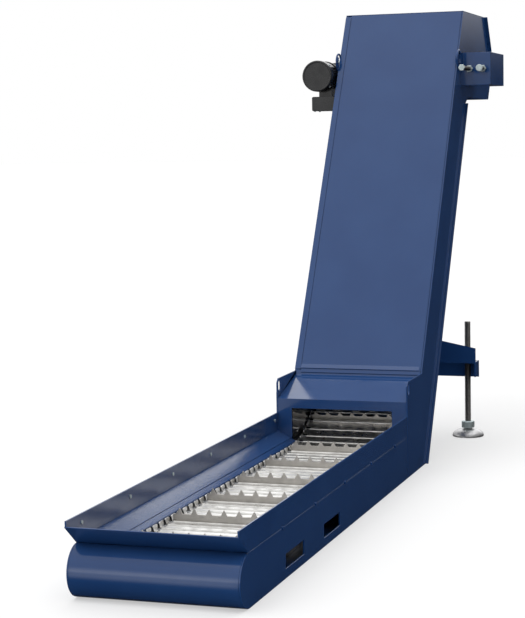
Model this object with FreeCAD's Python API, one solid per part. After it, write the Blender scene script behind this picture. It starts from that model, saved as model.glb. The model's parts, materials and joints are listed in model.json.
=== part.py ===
import FreeCAD, Part
import math
import os

# Hinged steel belt chip conveyor. Millimetres. X across, Y along the trough from the nose, Z up.
# The origin lies on the floor under the tail roller axis, midway between the sides.

os.makedirs("parts", exist_ok=True)
V = FreeCAD.Vector

# Casing
half_width = 195.0
sheet = 4.0
cover_sheet = 3.0
trough_height = 118.5
collar_height = 58.0
flare_reach = 57.0
flare_height = 44.5
flare_foot_y = -6.0
chute_width = 40.0
chute_rise = 4.5
chute_drop = 21.0
chute_lip_reach = 14.5
chute_lip_drop = 9.0
window_length = 138.0
window_height = 33.0
window_bottom = 22.0
window_starts = (247.0, 546.0)

# Knee and incline
incline_angle = 60.0
incline_depth = 170.0
knee_lead = 55.5
knee_run = 219.7
knee_plate_top = 264.0
knee_plate_fold = 14.0
knee_plate_foot = 8.0
end_plate_top = 217.6
opening_side = 42.0
opening_top = 190.0
lug_top = 275.0
lug_slot_width = 20.0
lug_slot_height = 31.0
lug_slot_inset = 9.0
lug_slot_drop = 7.0
lug_chamfer = 12.0
back_flange = 8.0
flange_low_gap = 6.0
flange_high_gap = 2.0
cover_border = 20.0
cover_inset = 0.5

# Head
head_rise = 181.3
head_top_length = 348.0
hood_bulge = 76.0
hood_corner_drop = 111.0
hood_waist_drop = 228.0
hood_foot_drop = 274.0
hood_foot_reach = 403.4
hood_waist_lead = 30.0
hood_hem = 36.0
back_plate_gap = 18.0
hood_flange = 10.0
shaft_window_radius = 24.0

# Belt
pitch = 38.1
belt_side_gap = 45.0
eye_radius = 5.0
seen_eye_sides = 12
hidden_eye_sides = 6
plate_low = 0.8
plate_high = 3.3
hinge_gap = 0.75
carry_z = 79.0
return_z = 39.5
wing_side_gap = 59.0
wing_thickness = 2.5
wing_height = 13.0
wing_foot = (6.6, 31.6)
wing_tip = (3.5, 29.6)
cleat_side_gap = 64.0
cleat_thickness = 3.0
cleat_offset = 8.0
cleat_height = 28.0
tooth_height = 11.2
tooth_base = 14.0
tooth_tip = 3.4
tooth_pitch = 37.0
tooth_count = 7
links_per_cleat = 6
first_cleat_link = 4
trough_links = 35
knee_links = 9
incline_links = 29
wheel_sides = 6
return_radius = 250.0
return_depth = 37.9
hidden_return_links = 75
pin_tries = 5

# Rails
rail_reach = 56.0
rail_thickness = 4.0
rail_gap = 0.3
return_rail_gap = 0.5
rail_lead = 20.0
wear_strip_lead = 12.0
rail_end_gap = 30.0
hold_down_inset = 3.0
wear_strip_reach = 55.0

# Drive
shaft_radius = 15.0
wheel_thickness = 8.0
wheel_seat_sides = 8
wheel_side_gap = 101.0
seat_clearance = 0.3
running_clearance = 0.05
bearing_size = 84.0
bearing_thickness = 26.0
bearing_hub_radius = 30.0
tail_roller_radius = 14.45
tail_shaft_radius = 10.0
tail_block = 40.0
tail_block_depth = 30.0
tail_end_gap = 3.0
tail_block_floor = 2.0
gearbox_width = 59.0
gearbox_reach = 50.0
gearbox_rise = 30.0
gearbox_drop = 64.0
gearbox_chamfer = 14.0
gearbox_flange = 12.0
gearbox_gap = 2.0
gearbox_hub_radius = 27.5
motor_spigot_radius = 47.0
shaft_inset = 6.0
shaft_stub = 8.0
torque_arm_size = (8.0, 24.0)
torque_arm_offset = 10.0
torque_arm_drops = (34.0, 46.0)
motor_drop = 15.5
motor_radius = 50.0
motor_length = 98.0
cowl_length = 32.0
cowl_wall = 2.5
cowl_face = 3.0
cowl_chamfer = 2.0
fin_count = 7
fin_pitch = 9.0
fin_thickness = 2.5
fin_depth = 3.0
fin_inset = 0.5
motor_rim = 8.0
motor_rib_gap = 4.0
fan_radius = 41.0
fan_hub_flats = 18.0
fan_hub_radius = 7.0
fan_front_gap = 8.0
fan_rear_gap = 10.0
fan_blade = 3.0
fan_blades = 6
fan_stub_radius = 5.0
fan_stub_end = 0.7
terminal_box_size = (75.0, 70.0, 46.0)
terminal_neck = (42.0, 44.0)
terminal_shift = 17.0
terminal_gap = 66.0
terminal_lead = 8.0
terminal_chamfer = 3.0
neck_top_drop = 40.0
gland_radius = 10.0
gland_nut_radius = 8.0
gland_bore_radius = 4.5
gland_hex = 7.0
gland_reach = 17.0

# Take-up brackets and guard
guard_height = 103.0
guard_length = 229.0
bracket_width = 41.0
guard_width = 55.0
guard_sheet = 3.0
guard_front_gap = 56.542
take_up_screw_radius = 7.0
take_up_reaches = (124.0, 60.0)
take_up_depth = 20.0
take_up_head_radius = 11.0
take_up_head_height = 6.0
take_up_nut_flats = 21.0
take_up_nut_height = 10.0
take_up_insets = (28.7, 30.3)
bracket_drop = 3.0
eye_outer = 30.0
eye_inner = 17.0
eye_thickness = 6.0
eye_rise = 27.5

# Rear support
foot_outreach = 26.0
foot_lead = 496.3
rod_radius = 10.0
rod_top = 371.0
hex_flats = 36.0
hex_bottom = 26.0
hex_height = 23.0
nut_flats = 30.0
nut_height = 16.0
pad_radius = 50.0
pad_height = 22.0
pad_edge = 4.0
pad_slope = (41.0, 12.3)
pad_crown = (27.5, 18.9)
pad_shoulder = 13.0
ball_radius = 12.0
ball_centre_z = 14.0
ball_clearance = 0.1
ball_step = 40.0
neck_radius = 7.0
beam_outreach = 57.0
beam_foot_inset = 28.0
beam_depth = 58.0
beam_web_z = 239.0
beam_drop = 50.0
beam_end_drop = 44.0
beam_end_top = 288.0
beam_top = 317.0
beam_taper_x = 110.0
arm_side_gap = 91.0
arm_thickness = 6.0
arm_low_z = 200.0
arm_high_z = 330.0
arm_top_drop = 7.0

# Fasteners
screw_sides = 12
screw_head_radius = 4.5
screw_head_height = 2.0
collar_screw_z = 157.0
collar_screw_start = 18.0
collar_screw_end = 31.0
collar_screw_count = 6
seam_bolt_start = 226.0
seam_bolt_end = 149.0
seam_bolt_count = 5
seam_bolt_flats = 8.0
seam_bolt_height = 2.5

# Worked out from the sizes above
slope = math.radians(incline_angle)
knee_start_y = trough_links * pitch
trough_length = knee_start_y + knee_lead
rear_corner_y = trough_length + knee_run
along = (math.cos(slope), math.sin(slope))
outward = (-math.sin(slope), math.cos(slope))
inner_x = half_width - sheet
opening_half_width = inner_x - opening_side
belt_half_width = inner_x - belt_side_gap
wing_x = inner_x - wing_side_gap
cleat_half_width = inner_x - cleat_side_gap
rail_inner_x = inner_x - rail_reach
wear_strip_x = inner_x - wear_strip_reach
wheel_x = inner_x - wheel_side_gap
foot_x = half_width + foot_outreach
beam_half_length = half_width + beam_outreach
arm_x = inner_x - arm_side_gap
seam_z = trough_height
collar_top = trough_height + collar_height
nose_radius = trough_height / 2
wheel_radius = pitch / (2 * math.sin(math.pi / wheel_sides))
shaft_depth = return_depth + wheel_radius
carry_depth = shaft_depth + wheel_radius
carry_radius = pitch / (2 * math.sin(slope / knee_links / 2))


def incline(q, c):
    """Point at distance q up the incline and c in front of the incline's back plane."""
    return (rear_corner_y + q * along[0] + c * outward[0], q * along[1] + c * outward[1])


def incline_at_z(z, c):
    """Point of the line at depth c whose height is z."""
    q = (z - c * outward[1]) / along[1]
    return incline(q, c)


knee_centre = (knee_start_y, carry_z + carry_radius)
carry_tangent = (knee_start_y + carry_radius * math.sin(slope),
                 carry_z + carry_radius * (1 - math.cos(slope)))
carry_q = ((carry_tangent[0] - rear_corner_y) * along[0] + carry_tangent[1] * along[1])
shaft_q = carry_q + incline_links * pitch
shaft_y, shaft_z = incline(shaft_q, shaft_depth)
head_top = shaft_z + head_rise
hood_corner_z = head_top - hood_corner_drop
hood_waist_z = head_top - hood_waist_drop
hood_foot_z = head_top - hood_foot_drop
hood_foot_y = shaft_y + hood_foot_reach
foot_y = rear_corner_y + foot_lead
beam_front_y = foot_y - beam_foot_inset
collar_screw_pitch = (trough_length - collar_screw_start - collar_screw_end) / (collar_screw_count - 1)
seam_bolt_pitch = (trough_length - seam_bolt_start - seam_bolt_end) / (seam_bolt_count - 1)
return_meet_y = incline_at_z(return_z, return_depth)[0]
return_end_y = return_meet_y - return_radius * math.tan(slope / 2)
return_centre = (return_end_y, return_z + return_radius)
return_tangent = (return_end_y + return_radius * math.sin(slope),
                  return_z + return_radius * (1 - math.cos(slope)))


def export(name, solids):
    """Write one node: a single solid, or a group of separate solids."""
    solids = list(solids)
    shape = solids[0] if len(solids) == 1 else Part.makeCompound(solids)
    shape.exportStep("parts/" + name + ".step")


def yz_prism(points, x_from, x_to):
    """Solid with its outline in the YZ plane, from one X to another."""
    wire = Part.makePolygon([V(x_from, y, z) for y, z in points + points[:1]])
    return Part.Face(wire).extrude(V(x_to - x_from, 0, 0))


def xz_prism(points, y_from, y_to):
    """Solid with its outline in the XZ plane, from one Y to another."""
    wire = Part.makePolygon([V(x, y_from, z) for x, z in points + points[:1]])
    return Part.Face(wire).extrude(V(0, y_to - y_from, 0))


def block(x_from, x_to, y_from, y_to, z_from, z_to):
    return Part.makeBox(x_to - x_from, y_to - y_from, z_to - z_from, V(x_from, y_from, z_from))


def mirrored(shape):
    """The same piece on the other side of the conveyor."""
    return shape.mirror(V(0, 0, 0), V(1, 0, 0))


def rod_x(radius, x_from, x_to, y, z):
    return Part.makeCylinder(radius, x_to - x_from, V(x_from, y, z), V(1, 0, 0))


def rod_y(radius, y_from, y_to, x, z):
    return Part.makeCylinder(radius, y_to - y_from, V(x, y_from, z), V(0, 1, 0))


def rod_z(radius, z_from, z_to, x, y):
    return Part.makeCylinder(radius, z_to - z_from, V(x, y, z_from))


def regular_prism(sides, flats, centre, axis, length, turn=0.0):
    """Prism with a regular outline across the given flats, standing on its centre along an axis."""
    corner = flats / 2 / math.cos(math.pi / sides)
    points = []
    for i in range(sides + 1):
        a = 2 * math.pi * i / sides + math.radians(turn)
        points.append(V(corner * math.cos(a), corner * math.sin(a), 0))
    prism = Part.Face(Part.makePolygon(points)).extrude(V(0, 0, length))
    prism.Placement = FreeCAD.Placement(centre, FreeCAD.Rotation(V(0, 0, 1), axis))
    return prism


def hexagon(flats, centre, axis, length, turn=0.0):
    return regular_prism(6, flats, centre, axis, length, turn)


def ring_sector(centre, inner, outer, first, last, x_from, x_to):
    """Curved strip below a centre, between two angles measured from straight down to the incline."""

    def at(radius, a):
        return V(x_from, centre[0] + radius * math.sin(a), centre[1] - radius * math.cos(a))

    middle = (first + last) / 2
    edges = [
        Part.Arc(at(inner, first), at(inner, middle), at(inner, last)).toShape(),
        Part.LineSegment(at(inner, last), at(outer, last)).toShape(),
        Part.Arc(at(outer, last), at(outer, middle), at(outer, first)).toShape(),
        Part.LineSegment(at(outer, first), at(inner, first)).toShape(),
    ]
    return Part.Face(Part.Wire(edges)).extrude(V(x_to - x_from, 0, 0))


def trough_side(x_from, x_to, windows):
    """Lower side plate, rounded at the nose, with or without its two windows."""
    top = V(x_from, 0, seam_z)
    nose = V(x_from, -nose_radius, nose_radius)
    foot = V(x_from, 0, 0)
    edges = [
        Part.Arc(top, nose, foot).toShape(),
        Part.LineSegment(foot, V(x_from, trough_length, 0)).toShape(),
        Part.LineSegment(V(x_from, trough_length, 0), V(x_from, trough_length, seam_z)).toShape(),
        Part.LineSegment(V(x_from, trough_length, seam_z), top).toShape(),
    ]
    plate = Part.Face(Part.Wire(edges)).extrude(V(x_to - x_from, 0, 0))
    for start in windows:
        plate = plate.cut(block(x_from - 1, x_to + 1, start, start + window_length,
                                window_bottom, window_bottom + window_height))
    return plate


def trough():
    export("trough_side_right", [trough_side(inner_x, half_width, window_starts)])
    export("trough_side_left", [trough_side(-half_width, -inner_x, ())])
    rear = rear_corner_y - sheet / math.tan(slope)
    export("trough_bottom", [yz_prism([(0, 0), (rear_corner_y, 0), (rear_corner_y, 0.01), (rear, sheet),
                                       (0, sheet)], -inner_x, inner_x)])
    outer = Part.makeCylinder(nose_radius, 2 * inner_x, V(-inner_x, 0, nose_radius), V(1, 0, 0))
    inner = Part.makeCylinder(nose_radius - sheet, 2 * inner_x, V(-inner_x, 0, nose_radius), V(1, 0, 0))
    front = block(-inner_x, inner_x, -nose_radius - 1, 0, -1, seam_z + 1)
    export("nose_sheet", [outer.cut(inner).common(front)])


def collar():
    """The raised walls round the loading throat, with the flared front."""
    top_y = flare_foot_y - flare_reach
    top_z = seam_z + flare_height
    flare = [(flare_foot_y, seam_z), (top_y, top_z), (top_y + cover_sheet, top_z + 1.5),
             (flare_foot_y + cover_sheet * 1.25, seam_z)]
    foot_y = flare[3][0]
    wall = [(foot_y, seam_z), (trough_length, seam_z), (trough_length, collar_top),
            (flare[2][0], collar_top), flare[2]]
    right = yz_prism(wall, inner_x, half_width)
    export("collar_wall_right", [right])
    export("collar_wall_left", [mirrored(right)])
    export("front_flare", [yz_prism(flare, -half_width, half_width)])


def chutes():
    """Sloping plates that lead the chips from the walls onto the belt, each with a steeper lip."""
    outer_z = seam_z + chute_rise
    lip_x = inner_x - chute_width
    inner_z = outer_z - chute_drop
    end_x = lip_x - chute_lip_reach
    end_z = inner_z - chute_lip_drop
    outline = [(inner_x, outer_z), (lip_x, inner_z), (end_x, end_z), (end_x, end_z - cover_sheet),
               (lip_x + 1.0, inner_z - cover_sheet), (inner_x, outer_z - cover_sheet)]
    right = xz_prism(outline, 2.0, trough_length)
    export("chute_right", [right])
    export("chute_left", [mirrored(right)])
    legs = [(inner_x, outer_z), (inner_x, end_plate_top), (-inner_x, end_plate_top), (-inner_x, outer_z),
            (-opening_half_width, inner_z), (-opening_half_width, opening_top),
            (opening_half_width, opening_top), (opening_half_width, inner_z)]
    export("end_plate", [xz_prism(legs, trough_length, trough_length + sheet)])


def side_plate_outline():
    """Corners of the side plate of knee, incline and head, from the trough's end round to the lug."""
    front_top = incline_at_z(head_top, incline_depth)
    front_lug = incline_at_z(lug_top, incline_depth)
    rear_join = incline_at_z(hood_foot_z - back_plate_gap, 0)
    hood_top_y = front_top[0] + head_top_length
    return [
        (trough_length, 0), (rear_corner_y, 0), rear_join, (rear_join[0] + hood_hem, hood_foot_z),
        (hood_foot_y, hood_foot_z), (hood_foot_y + hood_waist_lead, hood_waist_z),
        (hood_top_y + hood_bulge, hood_corner_z), (hood_top_y, head_top), front_top, front_lug,
        (trough_length + lug_chamfer, lug_top), (trough_length, lug_top - lug_chamfer),
    ]


def lug_slot():
    """Upright rounded slot through the lifting lug."""
    y = trough_length + lug_slot_width / 2 + lug_slot_inset
    z = lug_top - lug_slot_height / 2 - lug_slot_drop
    r = lug_slot_width / 2
    reach = (lug_slot_height - lug_slot_width) / 2
    slot = block(inner_x - 1, half_width + 1, y - r, y + r, z - reach, z + reach)
    for end in (z - reach, z + reach):
        slot = slot.fuse(rod_x(r, inner_x - 1, half_width + 1, y, end))
    return slot.removeSplitter()


def side_plates():
    plate = yz_prism(side_plate_outline(), inner_x, half_width)
    plate = plate.cut(lug_slot())
    plate = plate.cut(rod_x(shaft_window_radius, inner_x - 1, half_width + 1, shaft_y, shaft_z))
    low = incline_at_z(lug_top + flange_low_gap, incline_depth)
    high = incline_at_z(head_top - flange_high_gap, incline_depth)
    low_in = incline_at_z(lug_top + flange_low_gap, incline_depth - sheet)
    high_in = incline_at_z(head_top - flange_high_gap, incline_depth - sheet)
    flange = yz_prism([low, high, high_in, low_in], inner_x - cover_border, inner_x)
    plate = plate.fuse(flange).removeSplitter()
    export("side_plate_right", [plate])
    export("side_plate_left", [mirrored(plate)])


def incline_sheets():
    """Back plate, cover and the sloping plate over the knee."""
    low = (rear_corner_y, 0)
    low_out = (rear_corner_y + sheet / math.sin(slope), 0)
    high = incline_at_z(hood_foot_z - back_plate_gap, 0)
    high_out = incline_at_z(hood_foot_z - back_plate_gap, -sheet)
    reach = half_width + back_flange
    export("incline_back_plate", [yz_prism([low, low_out, high_out, high], -reach, reach)])
    c_in = incline_depth
    c_out = incline_depth + cover_sheet
    cover_left = cover_border - half_width
    cover_right = inner_x - cover_inset
    cover_foot = knee_plate_top + knee_plate_fold / 2
    cover = [incline_at_z(cover_foot, c_in), incline_at_z(head_top, c_in),
             incline_at_z(head_top, c_out), incline_at_z(cover_foot, c_out)]
    export("incline_cover", [yz_prism(cover, cover_left, cover_right)])
    fold = incline_at_z(knee_plate_top, incline_depth)
    fold_high = incline_at_z(knee_plate_top + knee_plate_fold, incline_depth)
    fold_back = incline_at_z(knee_plate_top + knee_plate_fold, incline_depth - cover_sheet)
    under = incline_at_z(knee_plate_top - 1.0, incline_depth - cover_sheet)
    knee = [(trough_length, end_plate_top), fold, fold_high, fold_back, under,
            (trough_length + sheet + knee_plate_foot, end_plate_top)]
    export("knee_slope_plate", [yz_prism(knee, -inner_x, inner_x)])


def head():
    """Top plate and rear hood of the head; chips drop out between the hood and the incline."""
    outline = side_plate_outline()
    foot, waist, corner, top = outline[4], outline[5], outline[6], outline[7]
    front = outline[8]
    export("head_top_plate", [yz_prism([front, top, (top[0], head_top + cover_sheet),
                                        (front[0], head_top + cover_sheet)], -half_width, half_width)])
    t = cover_sheet
    lower = yz_prism([(corner[0], corner[1]), waist, foot, (foot[0] + t, foot[1] - 0.5),
                      (waist[0] + t, waist[1]), (corner[0] + t, corner[1])], -half_width, half_width)
    upper = yz_prism([(top[0], top[1] + t), (top[0], top[1]), corner, (corner[0] + t, corner[1]),
                      (top[0] + t, top[1] + t)], -half_width - hood_flange, half_width + hood_flange)
    export("head_hood", [lower.fuse(upper).removeSplitter()])


def link_frame(a, b):
    """Direction along a link and the direction away from the loop."""
    length = math.hypot(b[0] - a[0], b[1] - a[1])
    t = ((b[0] - a[0]) / length, (b[1] - a[1]) / length)
    return t, (-t[1], t[0])


def link_point(a, t, n, s, h):
    return (a[0] + t[0] * s + n[0] * h, a[1] + t[1] * s + n[1] * h)


def link(a, b, eye_sides):
    """Hinged plate from inside its own rolled eye to just short of the next one."""
    t, n = link_frame(a, b)
    end = pitch - eye_radius - hinge_gap
    corners = [(0.0, plate_low), (end, plate_low), (end, plate_high), (0.0, plate_high)]
    plate = yz_prism([link_point(a, t, n, s, h) for s, h in corners], -belt_half_width, belt_half_width)
    flats = 2 * eye_radius * math.cos(math.pi / eye_sides)
    turn = math.degrees(math.atan2(t[1], t[0])) + 180.0 / eye_sides
    eye = regular_prism(eye_sides, flats, V(-belt_half_width, a[0], a[1]), V(1, 0, 0), 2 * belt_half_width,
                        turn)
    return plate.fuse(eye).removeSplitter()


def link_wings(a, b):
    """Upstanding side wings of one link."""
    t, n = link_frame(a, b)
    wing_high = plate_high + wing_height
    corners = [(wing_foot[0], plate_high), (wing_foot[1], plate_high), (wing_tip[1], wing_high),
               (wing_tip[0], wing_high)]
    points = [link_point(a, t, n, s, h) for s, h in corners]
    right = yz_prism(points, wing_x - wing_thickness, wing_x)
    return [right, mirrored(right)]


def cleat(a, b, toothed):
    """Upright cleat across a link; its top edge carries a row of teeth."""
    t, n = link_frame(a, b)
    top = plate_high + cleat_height
    valley = top - tooth_height if toothed else top - tooth_height / 2
    outline = [(-cleat_half_width, plate_high), (cleat_half_width, plate_high), (cleat_half_width, valley)]
    if toothed:
        for i in range(tooth_count):
            x = ((tooth_count - 1) / 2 - i) * tooth_pitch
            outline += [(x + tooth_base / 2, valley), (x + tooth_tip / 2, top), (x - tooth_tip / 2, top),
                        (x - tooth_base / 2, valley)]
    outline.append((-cleat_half_width, valley))
    start = cleat_offset - cleat_thickness / 2
    corners = []
    for x, h in outline:
        y, z = link_point(a, t, n, start, h)
        corners.append(V(x, y, z))
    step = V(0, t[0] * cleat_thickness, t[1] * cleat_thickness)
    return Part.Face(Part.makePolygon(corners + corners[:1])).extrude(step)


def return_point(s):
    """Point of the return run at distance s from the drive wheel: incline, knee, then trough."""
    start = incline(shaft_q, return_depth)
    straight = math.hypot(start[0] - return_tangent[0], start[1] - return_tangent[1])
    if s <= straight:
        return (start[0] - along[0] * s, start[1] - along[1] * s)
    bend = return_radius * slope
    if s <= straight + bend:
        a = slope - (s - straight) / return_radius
        return (return_centre[0] + return_radius * math.sin(a),
                return_centre[1] - return_radius * math.cos(a))
    return (return_end_y - (s - straight - bend), return_z)


def belt_pins():
    """Hinge pins round the whole loop, in the order in which the belt travels."""
    pins = [(i * pitch, carry_z) for i in range(trough_links)]
    for i in range(knee_links):
        a = slope * i / knee_links
        pins.append((knee_centre[0] + carry_radius * math.sin(a),
                     knee_centre[1] - carry_radius * math.cos(a)))
    pins += [incline(carry_q + i * pitch, carry_depth) for i in range(incline_links)]
    for i in range(wheel_sides // 2):
        a = slope + math.pi / 2 - 2 * math.pi * i / wheel_sides
        pins.append((shaft_y + wheel_radius * math.cos(a), shaft_z + wheel_radius * math.sin(a)))
    s = 0.0
    pins.append(return_point(s))
    for i in range(hidden_return_links):
        step = pitch
        here = pins[-1]
        for _ in range(pin_tries):
            there = return_point(s + step)
            step += pitch - math.hypot(there[0] - here[0], there[1] - here[1])
        s += step
        pins.append(return_point(s))
    last = pins[-1]
    middle = (last[0] / 2, (last[1] + carry_z) / 2)
    half = math.hypot(last[0], last[1] - carry_z) / 2
    reach = math.sqrt(pitch ** 2 - half ** 2)
    across = ((last[1] - carry_z) / (2 * half), -last[0] / (2 * half))
    pins.append((middle[0] + across[0] * reach, middle[1] + across[1] * reach))
    return pins


def belt():
    """The endless belt, as the runs and turns that move as one piece each over a short stroke."""
    pins = belt_pins()
    count = len(pins)
    groups = {}
    for i, a in enumerate(pins):
        b = pins[(i + 1) % count]
        middle = ((a[0] + b[0]) / 2, (a[1] + b[1]) / 2)
        if i < trough_links:
            name = "belt_trough"
        elif i < trough_links + knee_links:
            name = "belt_knee"
        elif i < trough_links + knee_links + incline_links:
            name = "belt_incline"
        elif i < trough_links + knee_links + incline_links + wheel_sides // 2:
            name = "belt_head"
        elif i >= count - 2:
            name = "belt_tail"
        elif middle[0] < return_end_y:
            name = "return_trough"
        elif (middle[0] - return_tangent[0]) * along[0] + (middle[1] - return_tangent[1]) * along[1] < 0:
            name = "return_knee"
        else:
            name = "return_incline"
        links, cleats = groups.setdefault(name, ([], []))
        seen = name in ("belt_trough", "belt_knee")
        links.append(link(a, b, seen_eye_sides if seen else hidden_eye_sides))
        if seen:
            links += link_wings(a, b)
        if i % links_per_cleat == first_cleat_link and i < count - links_per_cleat:
            cleats.append(cleat(a, b, name in ("belt_trough", "belt_knee", "belt_incline")))
    for name, (links, cleats) in groups.items():
        if name in ("belt_trough", "belt_incline"):
            export(name + "_links", links)
            export(name + "_cleats", cleats)
        else:
            export(name, links + cleats)


def incline_strip(low, high, c):
    """Straight rail section along the incline, with its running face at depth c."""
    return yz_prism([incline(low, c), incline(high, c), incline(high, c - rail_thickness),
                     incline(low, c - rail_thickness)], rail_inner_x, inner_x)


def rails():
    """Tracks under and over the plate ends, fixed to the side plates."""
    top = carry_z - eye_radius - rail_gap
    low = return_z - eye_radius - rail_gap
    carry = block(rail_inner_x, inner_x, rail_lead, knee_start_y, top - rail_thickness, top)
    back = block(wear_strip_x, wear_strip_x + rail_thickness, wear_strip_lead, return_end_y, sheet, low)
    export("trough_rails", [carry, mirrored(carry), back, mirrored(back)])
    under = carry_radius + eye_radius + rail_gap
    carry = ring_sector(knee_centre, under, under + rail_thickness, 0, slope, rail_inner_x, inner_x)
    outer = return_radius + eye_radius + return_rail_gap
    back = ring_sector(return_centre, outer, outer + rail_thickness, 0, slope, rail_inner_x, inner_x)
    export("knee_rails", [carry, mirrored(carry), back, mirrored(back)])
    over = carry_radius - eye_radius - rail_gap
    first = math.asin((trough_length + 2 * sheet - knee_start_y) / over)
    hold = ring_sector(knee_centre, over - rail_thickness, over, first, slope,
                       rail_inner_x + hold_down_inset, inner_x)
    export("knee_hold_down_rails", [hold, mirrored(hold)])
    end = shaft_q - rail_end_gap
    carry = incline_strip(carry_q, end, carry_depth - eye_radius - rail_gap)
    start = (return_tangent[0] - rear_corner_y) * along[0] + return_tangent[1] * along[1]
    back = incline_strip(start, end, return_depth - eye_radius - rail_gap)
    export("incline_rails", [carry, mirrored(carry), back, mirrored(back)])


def drive_wheel(x):
    """Six-sided drive wheel with a seat for a hinge eye at each corner."""
    flat = wheel_radius * math.cos(math.pi / wheel_sides) + plate_low - seat_clearance
    corner = flat / math.cos(math.pi / wheel_sides)
    points = []
    for i in range(wheel_sides):
        a = slope + math.pi / 2 - 2 * math.pi * i / wheel_sides
        points.append((shaft_y + corner * math.cos(a), shaft_z + corner * math.sin(a)))
    wheel = yz_prism(points, x - wheel_thickness / 2, x + wheel_thickness / 2)
    for i in range(wheel_sides):
        a = slope + math.pi / 2 - 2 * math.pi * i / wheel_sides
        y = shaft_y + wheel_radius * math.cos(a)
        z = shaft_z + wheel_radius * math.sin(a)
        seat = regular_prism(wheel_seat_sides, 2 * (eye_radius + seat_clearance),
                             V(x - wheel_thickness, y, z), V(1, 0, 0), 2 * wheel_thickness)
        wheel = wheel.cut(seat)
    return wheel.cut(rod_x(shaft_radius, x - wheel_thickness, x + wheel_thickness, shaft_y, shaft_z))


def flange_bearing():
    """Square bearing housing with a raised round hub, on the outside of the right side plate."""
    h = bearing_size / 2
    x = half_width
    base = block(x, x + bearing_thickness / 2, shaft_y - h, shaft_y + h, shaft_z - h, shaft_z + h)
    hub = rod_x(bearing_hub_radius, x, x + bearing_thickness, shaft_y, shaft_z)
    bore = rod_x(shaft_radius + running_clearance, x - 1, x + bearing_thickness + 1, shaft_y, shaft_z)
    return base.fuse(hub).cut(bore).removeSplitter()


def drive():
    """Drive shaft with its wheels, bearings and the tail roller with its blocks."""
    gearbox_end = -half_width - bearing_thickness - gearbox_gap - gearbox_width
    shaft = rod_x(shaft_radius, gearbox_end + shaft_inset, half_width + bearing_thickness + shaft_stub,
                  shaft_y, shaft_z)
    export("drive_shaft", [shaft])
    export("drive_wheels", [drive_wheel(x) for x in (-wheel_x, 0.0, wheel_x)])
    right = flange_bearing()
    export("drive_bearings", [right, mirrored(right)])
    z = nose_radius
    stub = inner_x - tail_end_gap
    body = rod_x(tail_roller_radius, -belt_half_width, belt_half_width, 0, z)
    export("tail_roller", [body.fuse(rod_x(tail_shaft_radius, -stub, stub, 0, z)).removeSplitter()])
    h = tail_block / 2
    tail = block(inner_x - tail_block_depth, inner_x, -h, h, z - h, z + h)
    tail = tail.cut(rod_x(tail_shaft_radius + running_clearance, inner_x - tail_block_depth - 1,
                          inner_x - tail_block_floor, 0, z))
    export("tail_bearings", [tail, mirrored(tail)])


def gearbox(x_in, x_out, x_mid, motor_z):
    """Worm gearbox on the left end of the drive shaft, with its arm down to the side plate."""
    front = shaft_y - gearbox_reach
    rear = shaft_y + gearbox_reach
    low = shaft_z - gearbox_drop
    high = shaft_z + gearbox_rise
    c = gearbox_chamfer
    outline = [(front + c, low), (rear - c, low), (rear, low + c), (rear, high - c), (rear - c, high),
               (front + c, high), (front, high - c), (front, low + c)]
    housing = yz_prism(outline, x_out, x_in)
    for x_from, x_to in ((x_in, x_in + gearbox_gap), (x_out - sheet, x_out)):
        housing = housing.fuse(rod_x(gearbox_hub_radius, x_from, x_to, shaft_y, shaft_z))
    housing = housing.fuse(rod_y(motor_spigot_radius, front - gearbox_flange, front, x_mid, motor_z))
    bore = rod_x(shaft_radius + running_clearance, x_out + sheet, x_in + gearbox_gap + 1, shaft_y, shaft_z)
    housing = housing.cut(bore).removeSplitter()
    export("gearbox", [housing])
    thick, wide = torque_arm_size
    knee, foot = torque_arm_drops
    y = shaft_y + torque_arm_offset
    arm = block(x_in - thick, x_in, y, y + wide, low - knee, low)
    arm = arm.fuse(block(x_in - thick, -half_width, y, y + wide, low - foot, low - knee))
    export("torque_arm", [arm.removeSplitter()])


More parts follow.
